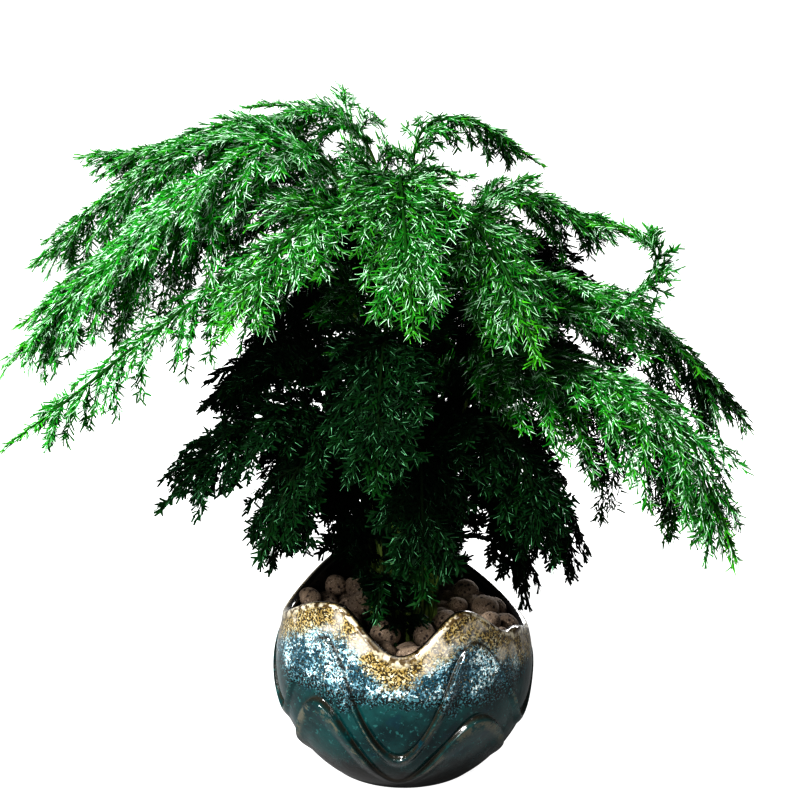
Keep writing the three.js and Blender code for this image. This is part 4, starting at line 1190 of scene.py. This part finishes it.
def across_and_above(directions):
    """Two directions at right angles to each given one, and to each other."""
    helper = np.where(np.abs(directions[:, 2:]) < 0.9, [[0.0, 0.0, 1.0]], [[1.0, 0.0, 0.0]])
    across = unit(np.cross(directions, helper))
    return across, np.cross(directions, across)


def four_pointed(points, faces, reach, marks):
    """Closed shapes of four points and four faces each, marked with how far along each point lies."""
    count = len(points) // 4
    base = 4 * np.arange(count)[:, None]
    triangles = np.concatenate([base + face for face in faces], 0)
    values = {mark: np.repeat(np.broadcast_to(value, count), 4) for mark, value in marks.items()}
    values["reach"] = np.tile(reach, count)
    return points, triangles, values


def spikes(starts, directions, lengths, widths, **marks):
    """A closed three-sided spike for each start, its points marked 0 at the foot and 1 at the tip."""
    across, above = across_and_above(directions)
    corners = [
        starts + (across * math.cos(turn) + above * math.sin(turn)) * np.asarray(widths)[:, None] / 2
        for turn in (0, 2 * math.pi / 3, 4 * math.pi / 3)
    ]
    tips = starts + directions * np.asarray(lengths)[:, None]
    points = np.stack([*corners, tips], 1).reshape(-1, 3)
    return four_pointed(points, ([0, 1, 3], [1, 2, 3], [2, 0, 3], [0, 2, 1]), (0.0, 0.0, 0.0, 1.0), marks)


def wedges(starts, directions, lengths, widths, twists, **marks):
    """A closed needle of four faces for each start: a broad foot, and a narrower end turned across it."""
    across, above = across_and_above(directions)
    cos, sin = np.cos(twists)[:, None], np.sin(twists)[:, None]
    across, above = across * cos + above * sin, above * cos - across * sin
    half = widths[:, None] / 2
    ends = starts + directions * lengths[:, None]
    points = np.stack([
        starts - across * half, starts + across * half,
        ends - above * half * NEEDLE_END_SHARE, ends + above * half * NEEDLE_END_SHARE,
    ], 1).reshape(-1, 3)
    return four_pointed(points, ([0, 1, 3], [1, 0, 2], [2, 3, 1], [3, 2, 0]), (0.0, 0.0, 1.0, 1.0), marks)


def spray_twigs(spray, fresh, fullness, draw):
    """The spray's upper side at its twigs, and a row of numbers for each twig."""
    broad = HANGING_WIDER if spray.hangs else 1
    count = max(2, int(spray.length / TWIG_PITCH))
    shares = (np.arange(count) + 0.6) / (count + 0.2)
    along = spray.tangents(shares)
    side = unit(np.cross(spray.upper_side, along))
    above = np.cross(along, side)
    rows = []
    for i, share in enumerate(shares):
        for turn in (1, -1):
            sweep = math.radians(draw.uniform(*TWIG_SWEEP))
            tilt = math.radians(draw.gauss(0, TWIG_TILT))
            direction = (
                along[i] * math.cos(sweep)
                + side[i] * (turn * math.sin(sweep) * math.cos(tilt))
                + above[i] * (math.sin(sweep) * math.sin(tilt))
            )
            length = fullness * TWIG_LENGTH * min(1, spray.length / FULL_TWIGS_ON)
            length *= mix(1, TWIG_TIP_SHARE, smooth(share, TWIG_LONGEST_AT, 1))
            length *= mix(TWIG_FOOT_SHARE, 1, smooth(share, 0, TWIG_LONGEST_AT))
            length *= draw.uniform(*TWIG_LENGTH_VARIES)
            shift = (draw.random() - 0.5) * TWIG_PITCH * TWIG_STRAY
            start = spray.at(share)[0] + along[i] * shift
            young = fresh + max(0.0, draw.gauss(*TWIG_YOUNG)) + YOUNGER_AT_TIP * smooth(share, 0.8, 1.0)
            rows.append((*start, *direction, *above[i], length, young, draw.random(), broad))
    return above, rows


def spray_tufts(spray, fresh, spacing, above, draw):
    """A row of numbers for each tuft of needles on the spray's own stem."""
    broad = HANGING_WIDER if spray.hangs else 1
    tufts = int(spray.length / (spacing * TUFT_SPACING))
    shares = (np.arange(tufts) + 0.5) / tufts
    points, tangents = spray.at(shares), spray.tangents(shares)
    uppers = above[np.minimum(np.arange(tufts) * len(above) // tufts, len(above) - 1)]
    tint = draw.random()
    rows = [
        (*point, *tangent, *upper, fresh, tint, broad)
        for point, tangent, upper in zip(points, tangents, uppers)
    ]
    end = (*spray.at(1.0)[0], *spray.tangents(0.98)[0], *above[-1], fresh + YOUNGER_AT_TIP, tint, broad)
    return rows + [end] * TUFTS_AT_TIP


def leafy_growth(sprays, terminal, fullness, wider, spacing, light, draw):
    """Twigs and needles for the sprays of one frond and for the end of its stem."""
    twig_rows, tuft_rows, parts = [], [], []
    for spray, fresh in [(spray, 0.0) for spray in sprays] + [(terminal, draw.uniform(*TERMINAL_YOUNG))]:
        shares = np.linspace(0, 1, SPRAY_TUBE_ROWS)
        parts.append(tube(
            spray.at(shares), spray.tangents(shares), np.tile(spray.upper_side, (SPRAY_TUBE_ROWS, 1)),
            mix(*SPRAY_TUBE_RADIUS, shares), 3,
            stem=STEM_ON["spray"], tint=draw.random(), fresh=fresh * 0.5, reach=0.0, pale=0.0,
        ))
        above, rows = spray_twigs(spray, fresh, fullness, draw)
        twig_rows += rows
        tuft_rows += spray_tufts(spray, fresh, spacing, above, draw)
    twigs, tufts = np.array(twig_rows), np.array(tuft_rows)
    starts, directions, lengths = twigs[:, 0:3], unit(twigs[:, 3:6]), twigs[:, 9]
    # Twigs carry a faint painted highlight
    parts.append(spikes(
        starts, directions, lengths, np.full(len(lengths), TWIG_WIDTH),
        stem=STEM_ON["twig"], tint=twigs[:, 11], fresh=twigs[:, 10], pale=0.1,
    ))
    counts = np.maximum(2, (lengths / spacing).astype(int))
    owner = np.repeat(np.arange(len(lengths)), counts)
    step = np.concatenate([np.arange(count) for count in counts])
    share = np.minimum((step + 0.7) / (counts[owner] + 0.1), 0.98)
    on_twigs = starts[owner] + directions[owner] * (lengths[owner] * share)[:, None]
    on_twigs = np.hstack([on_twigs, directions[owner], twigs[owner, 6:9], twigs[owner, 10:]])
    parts.append(needles(np.vstack([on_twigs, tufts]), wider, light, draw))
    return parts


def needles(tufts, wider, light, draw):
    """Several needles at each tuft, leaning forward and mostly to both sides of the blade."""
    rng = np.random.default_rng(draw.randrange(2 ** 31))
    tufts = np.repeat(tufts, NEEDLES_AT_NODE, axis=0)
    points, along, young, tints = tufts[:, 0:3], tufts[:, 3:6], tufts[:, 9], tufts[:, 10]
    widths = wider * tufts[:, 11]
    count = len(tufts)
    side = unit(np.cross(tufts[:, 6:9], along))
    above = np.cross(along, side)
    # Fine needles carry the painted highlights: fewer on wider growth, as on shaded fronds and hanging
    # sprays, and more on fronds with more painted light
    fine = rng.random(count) * widths < FINE_SHARE + FINE_WITH_LIGHT * light
    lean = np.radians(np.where(fine, rng.uniform(*FINE_LEAN, count), rng.uniform(*NEEDLE_LEAN, count)))
    flank = np.where(np.arange(count) % 2 == 0, 0.0, math.pi)
    turn = flank + np.radians(rng.normal(0, NEEDLE_SPREAD, count))
    direction = unit(
        along * np.cos(lean)[:, None]
        + (side * np.cos(turn)[:, None] + above * np.sin(turn)[:, None]) * np.sin(lean)[:, None]
    )
    length = rng.uniform(*NEEDLE_LENGTH, count)
    start = points + along * rng.uniform(-0.5, 0.5, count)[:, None] * NEEDLE_PITCH
    # Fronds with more painted light get a lighter body tint
    body_tint = BODY_TINT["twig"] * tints + BODY_TINT["light"] * (light - USUAL_PAINTED_LIGHT)
    body_tint = body_tint + rng.normal(0, BODY_TINT["varies"], count)
    tint = np.clip(np.where(fine, rng.uniform(*FINE_TINT, count), body_tint), 0, 1)
    fresh = np.clip(young + rng.normal(0, YOUNG_VARIES, count), 0, 1)
    width = np.where(fine, rng.uniform(*FINE_WIDTH, count), widths * rng.uniform(*NEEDLE_WIDTH, count))
    # Painted highlights: pale strokes on the fine needles, paler on fronds with more painted light, and next
    # to none on the other needles
    fine_highlight = (FINE_HIGHLIGHT + light) * rng.random(count) ** FINE_HIGHLIGHT_POWER
    pale = np.where(fine, fine_highlight, rng.uniform(*BODY_HIGHLIGHT, count))
    twist = rng.uniform(0, math.pi, count)
    return wedges(start, direction, length, width, twist, stem=0.0, tint=tint, fresh=fresh, pale=pale)


def grown_frond(frond, draw):
    """Points, triangles and marks of one frond: its stem, sprays, twigs and needles."""
    shares = np.linspace(0, 1, max(STEM_ROWS_LEAST, int(frond.curve.length / STEM_ROW)))
    along, _, above = frond.frame(shares)
    leafy = smooth(shares, frond.bare - 0.1, frond.bare + 0.1)
    stem = tube(
        frond.curve.at(shares), along, above, mix(STEM_FOOT_RADIUS, STEM_TIP_RADIUS, shares), STEM_SIDES,
        stem=mix(STEM_ON["bare"], STEM_ON["blade"], leafy).repeat(STEM_SIDES),
        tint=draw.random(), fresh=0.0, reach=0.0, pale=0.0,
    )
    sprays = frond.sprays + between_sprays(frond, draw)
    in_shade = frond.name in SHADED_FRONDS
    fullness = FULLNESS.get(frond.name, 1)
    wider = SHADED_WIDER if in_shade else 1
    # How much light is painted on this frond
    light = PAINTED_LIGHT_FRONDS.get(frond.name, USUAL_PAINTED_LIGHT)
    spacing = NEEDLE_PITCH * (SHADED_SPACING if in_shade else 1)
    return joined([stem, *leafy_growth(sprays, Terminal(frond), fullness, wider, spacing, light, draw)])


def painted_shadow_shares(growths):
    """For each frond's points, from 0 in the open to 1, how much growth stands towards the light: the share
    of painted shadow.
    """
    rng = np.random.default_rng(PAINTED_SHADOW_SEED)
    points = np.vstack([points for points, _, _ in growths])
    toward = np.array(KEY_FROM) / KEY_FROM[2]
    sheared = points - points[:, 2:] * toward * (1, 1, 0)
    spread = rng.uniform(-0.5, 0.5, points.shape)
    spread = np.repeat(spread[::4], 4, axis=0)[:len(points)]
    cells = np.floor(sheared / PAINTED_SHADOW_CELL + spread).astype(int)
    cells -= cells.min(axis=0)
    shape = cells.max(axis=0) + 1
    place = np.ravel_multi_index(cells.T, shape)
    counts = np.bincount(place, minlength=int(np.prod(shape))).reshape(shape)
    above = counts[:, :, ::-1].cumsum(axis=2)[:, :, ::-1] - counts
    depth = above.ravel()[place]
    painted_shadow = 1 - 0.5 ** (depth / PAINTED_SHADOW_HALF)
    ends = np.cumsum([len(points) for points, _, _ in growths])
    return np.split(painted_shadow, ends[:-1])


class Terminal:
    """The end of a stem, read like a spray."""

    def __init__(self, frond):
        self.frond, self.share = frond, frond.blade_end()
        self.length = (1 - self.share) * frond.curve.length
        self.upper_side = frond.frame((1 + self.share) / 2)[2][0]
        self.hangs = False

    def at(self, shares):
        return self.frond.curve.at(mix(self.share, 1, np.atleast_1d(shares)))

    def tangents(self, shares):
        return self.frond.curve.along(mix(self.share, 1, np.atleast_1d(shares)))


def leaf_material(name, tones):
    """Needles and stems: painted highlights on some needles, yellow-green on new growth, and painted shadow
    where growth stands between a needle and the light.
    """
    leaf = Finish(name, 0.5, Specular_IOR_Level=0.03)
    # Painted highlight: the pale mark, and a faint lightening towards each needle's tip
    highlight_share = leaf.calculate("MAXIMUM", leaf.mark("pale"), leaf.times(leaf.mark("reach"), 0.03))
    stem = leaf.mark("stem")
    bark = leaf.layered(
        tones["dull_stem"],
        (leaf.eased(stem, 0.7, 0.95), tones["bright_stem"]),
        (leaf.eased(leaf.noise(60.0, 2.0), 0.45, 0.75), tones["dull_stem"]),
    )
    leaf.body = leaf.layered(
        leaf.blended(leaf.mark("tint"), tones["dark"], tones["green"]),
        (leaf.mark("fresh"), tones["young"]),
        (highlight_share, tones["highlight_tone"]),
        # Painted shadow: the deep tone where growth stands between a needle and the key light
        (leaf.times(leaf.mark("painted_shadow"), 0.97), tones["deep"]),
        (leaf.eased(stem, 0.1, 0.5), bark),
    )
    return leaf.finished()


def make_fronds():
    sunlit = (leaf_material("sunlit_leaf", SUNLIT), "bright_leaf")
    shaded = (leaf_material("shaded_leaf", SHADED), "shaded_leaf")
    draw = random.Random(GROWTH_SEED)
    fronds = planned_fronds()
    settle_sprays(fronds)
    growths = [grown_frond(frond, draw) for frond in fronds]
    for frond, (points, triangles, marks), painted_shadow in zip(fronds, growths, painted_shadow_shares(growths)):
        marks["painted_shadow"] = painted_shadow
        finish = shaded if frond.name in SHADED_FRONDS else sunlit
        nodes = ["frond_" + frond.name]
        new_piece("lace_" + frond.name, points, triangles, marks, *finish, nodes, smooth_faces=False)


# Studio

def add_light(name, kind, power, place, looks_at):
    """A light that shines from a place towards a point."""
    light = added(name, bpy.data.lights.new(name, kind))
    light.data.energy = power
    light.location = [value * MM for value in place]
    light.rotation_euler = (Vector(place) - Vector(looks_at)).to_track_quat("Z", "Y").to_euler()
    return light.data


def add_panel(name, place, looks_at, size, power):
    panel = add_light(name, "AREA", power, place, looks_at)
    panel.shape = "RECTANGLE"
    panel.size, panel.size_y = (side * MM for side in size)


def make_camera():
    camera = added("camera", bpy.data.cameras.new("camera"))
    camera.location = [value * MM for value in CAMERA_PLACE]
    camera.rotation_euler = (math.radians(90 - CAMERA_DOWN), 0, 0)
    camera.data.lens = CAMERA_LENS
    camera.data.sensor_width = CAMERA_SENSOR
    camera.data.clip_end = CAMERA_SEES_TO
    bpy.context.scene.camera = camera


def make_lights():
    """A soft sun, three panels, and a weak even light that looks white to the camera."""
    key = add_light("key_light", "SUN", KEY_STRENGTH, KEY_FROM, (0, 0, 0))
    key.angle = math.radians(KEY_SOFTNESS)
    add_panel("window_light", WINDOW_PLACE, WINDOW_LOOKS_AT, WINDOW_SIZE, WINDOW_POWER)
    add_panel("front_light", FRONT_PLACE, FRONT_LOOKS_AT, FRONT_SIZE, FRONT_POWER)
    add_panel("back_light", BACK_PLACE, BACK_LOOKS_AT, BACK_SIZE, BACK_POWER)
    world = bpy.data.worlds.new("studio")
    world.use_nodes = True
    sky = Nodes(world.node_tree, None)
    seen = sky.add("ShaderNodeLightPath").outputs["Is Camera Ray"]
    background = sky.tree.nodes["Background"].inputs
    sky.feed(background["Strength"], sky.between(seen, FILL_STRENGTH, 1))
    sky.feed(background["Color"], (1, 1, 1))
    scene = bpy.context.scene
    scene.world = world
    scene.view_settings.view_transform = "Standard"
    scene.view_settings.look = "High Contrast"


def make_floor():
    """A pale round floor that glows white to the camera and bounces little light."""
    paint = Finish("pale_floor", 0.9)
    seen = paint.add("ShaderNodeLightPath").outputs["Is Camera Ray"]
    paint.body = paint.blended(seen, (FLOOR_BOUNCE,) * 3, (FLOOR_PALE,) * 3)
    glow = paint.blended(seen, (0, 0, 0), (1, 1, 1))
    edge = [turned(FLOOR_RADIUS * MM, 2 * math.pi * side / FLOOR_SIDES) for side in range(FLOOR_SIDES)]
    mesh = bpy.data.meshes.new("floor")
    mesh.from_pydata(edge, [], [list(range(FLOOR_SIDES))])
    mesh.materials.append(paint.finished(Emission_Color=glow, Emission_Strength=FLOOR_GLOW))
    floor = added("floor", mesh)


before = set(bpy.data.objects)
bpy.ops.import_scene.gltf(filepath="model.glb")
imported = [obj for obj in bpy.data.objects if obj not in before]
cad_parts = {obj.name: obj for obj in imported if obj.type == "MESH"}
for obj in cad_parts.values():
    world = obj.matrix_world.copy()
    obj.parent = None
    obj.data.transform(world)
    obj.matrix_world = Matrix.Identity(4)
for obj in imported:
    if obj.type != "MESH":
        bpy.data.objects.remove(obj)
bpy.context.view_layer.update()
make_camera()
make_lights()
make_floor()
make_pot(glaze_material())
make_soil(soil_material())
make_pebbles(clay_material())
make_fronds()
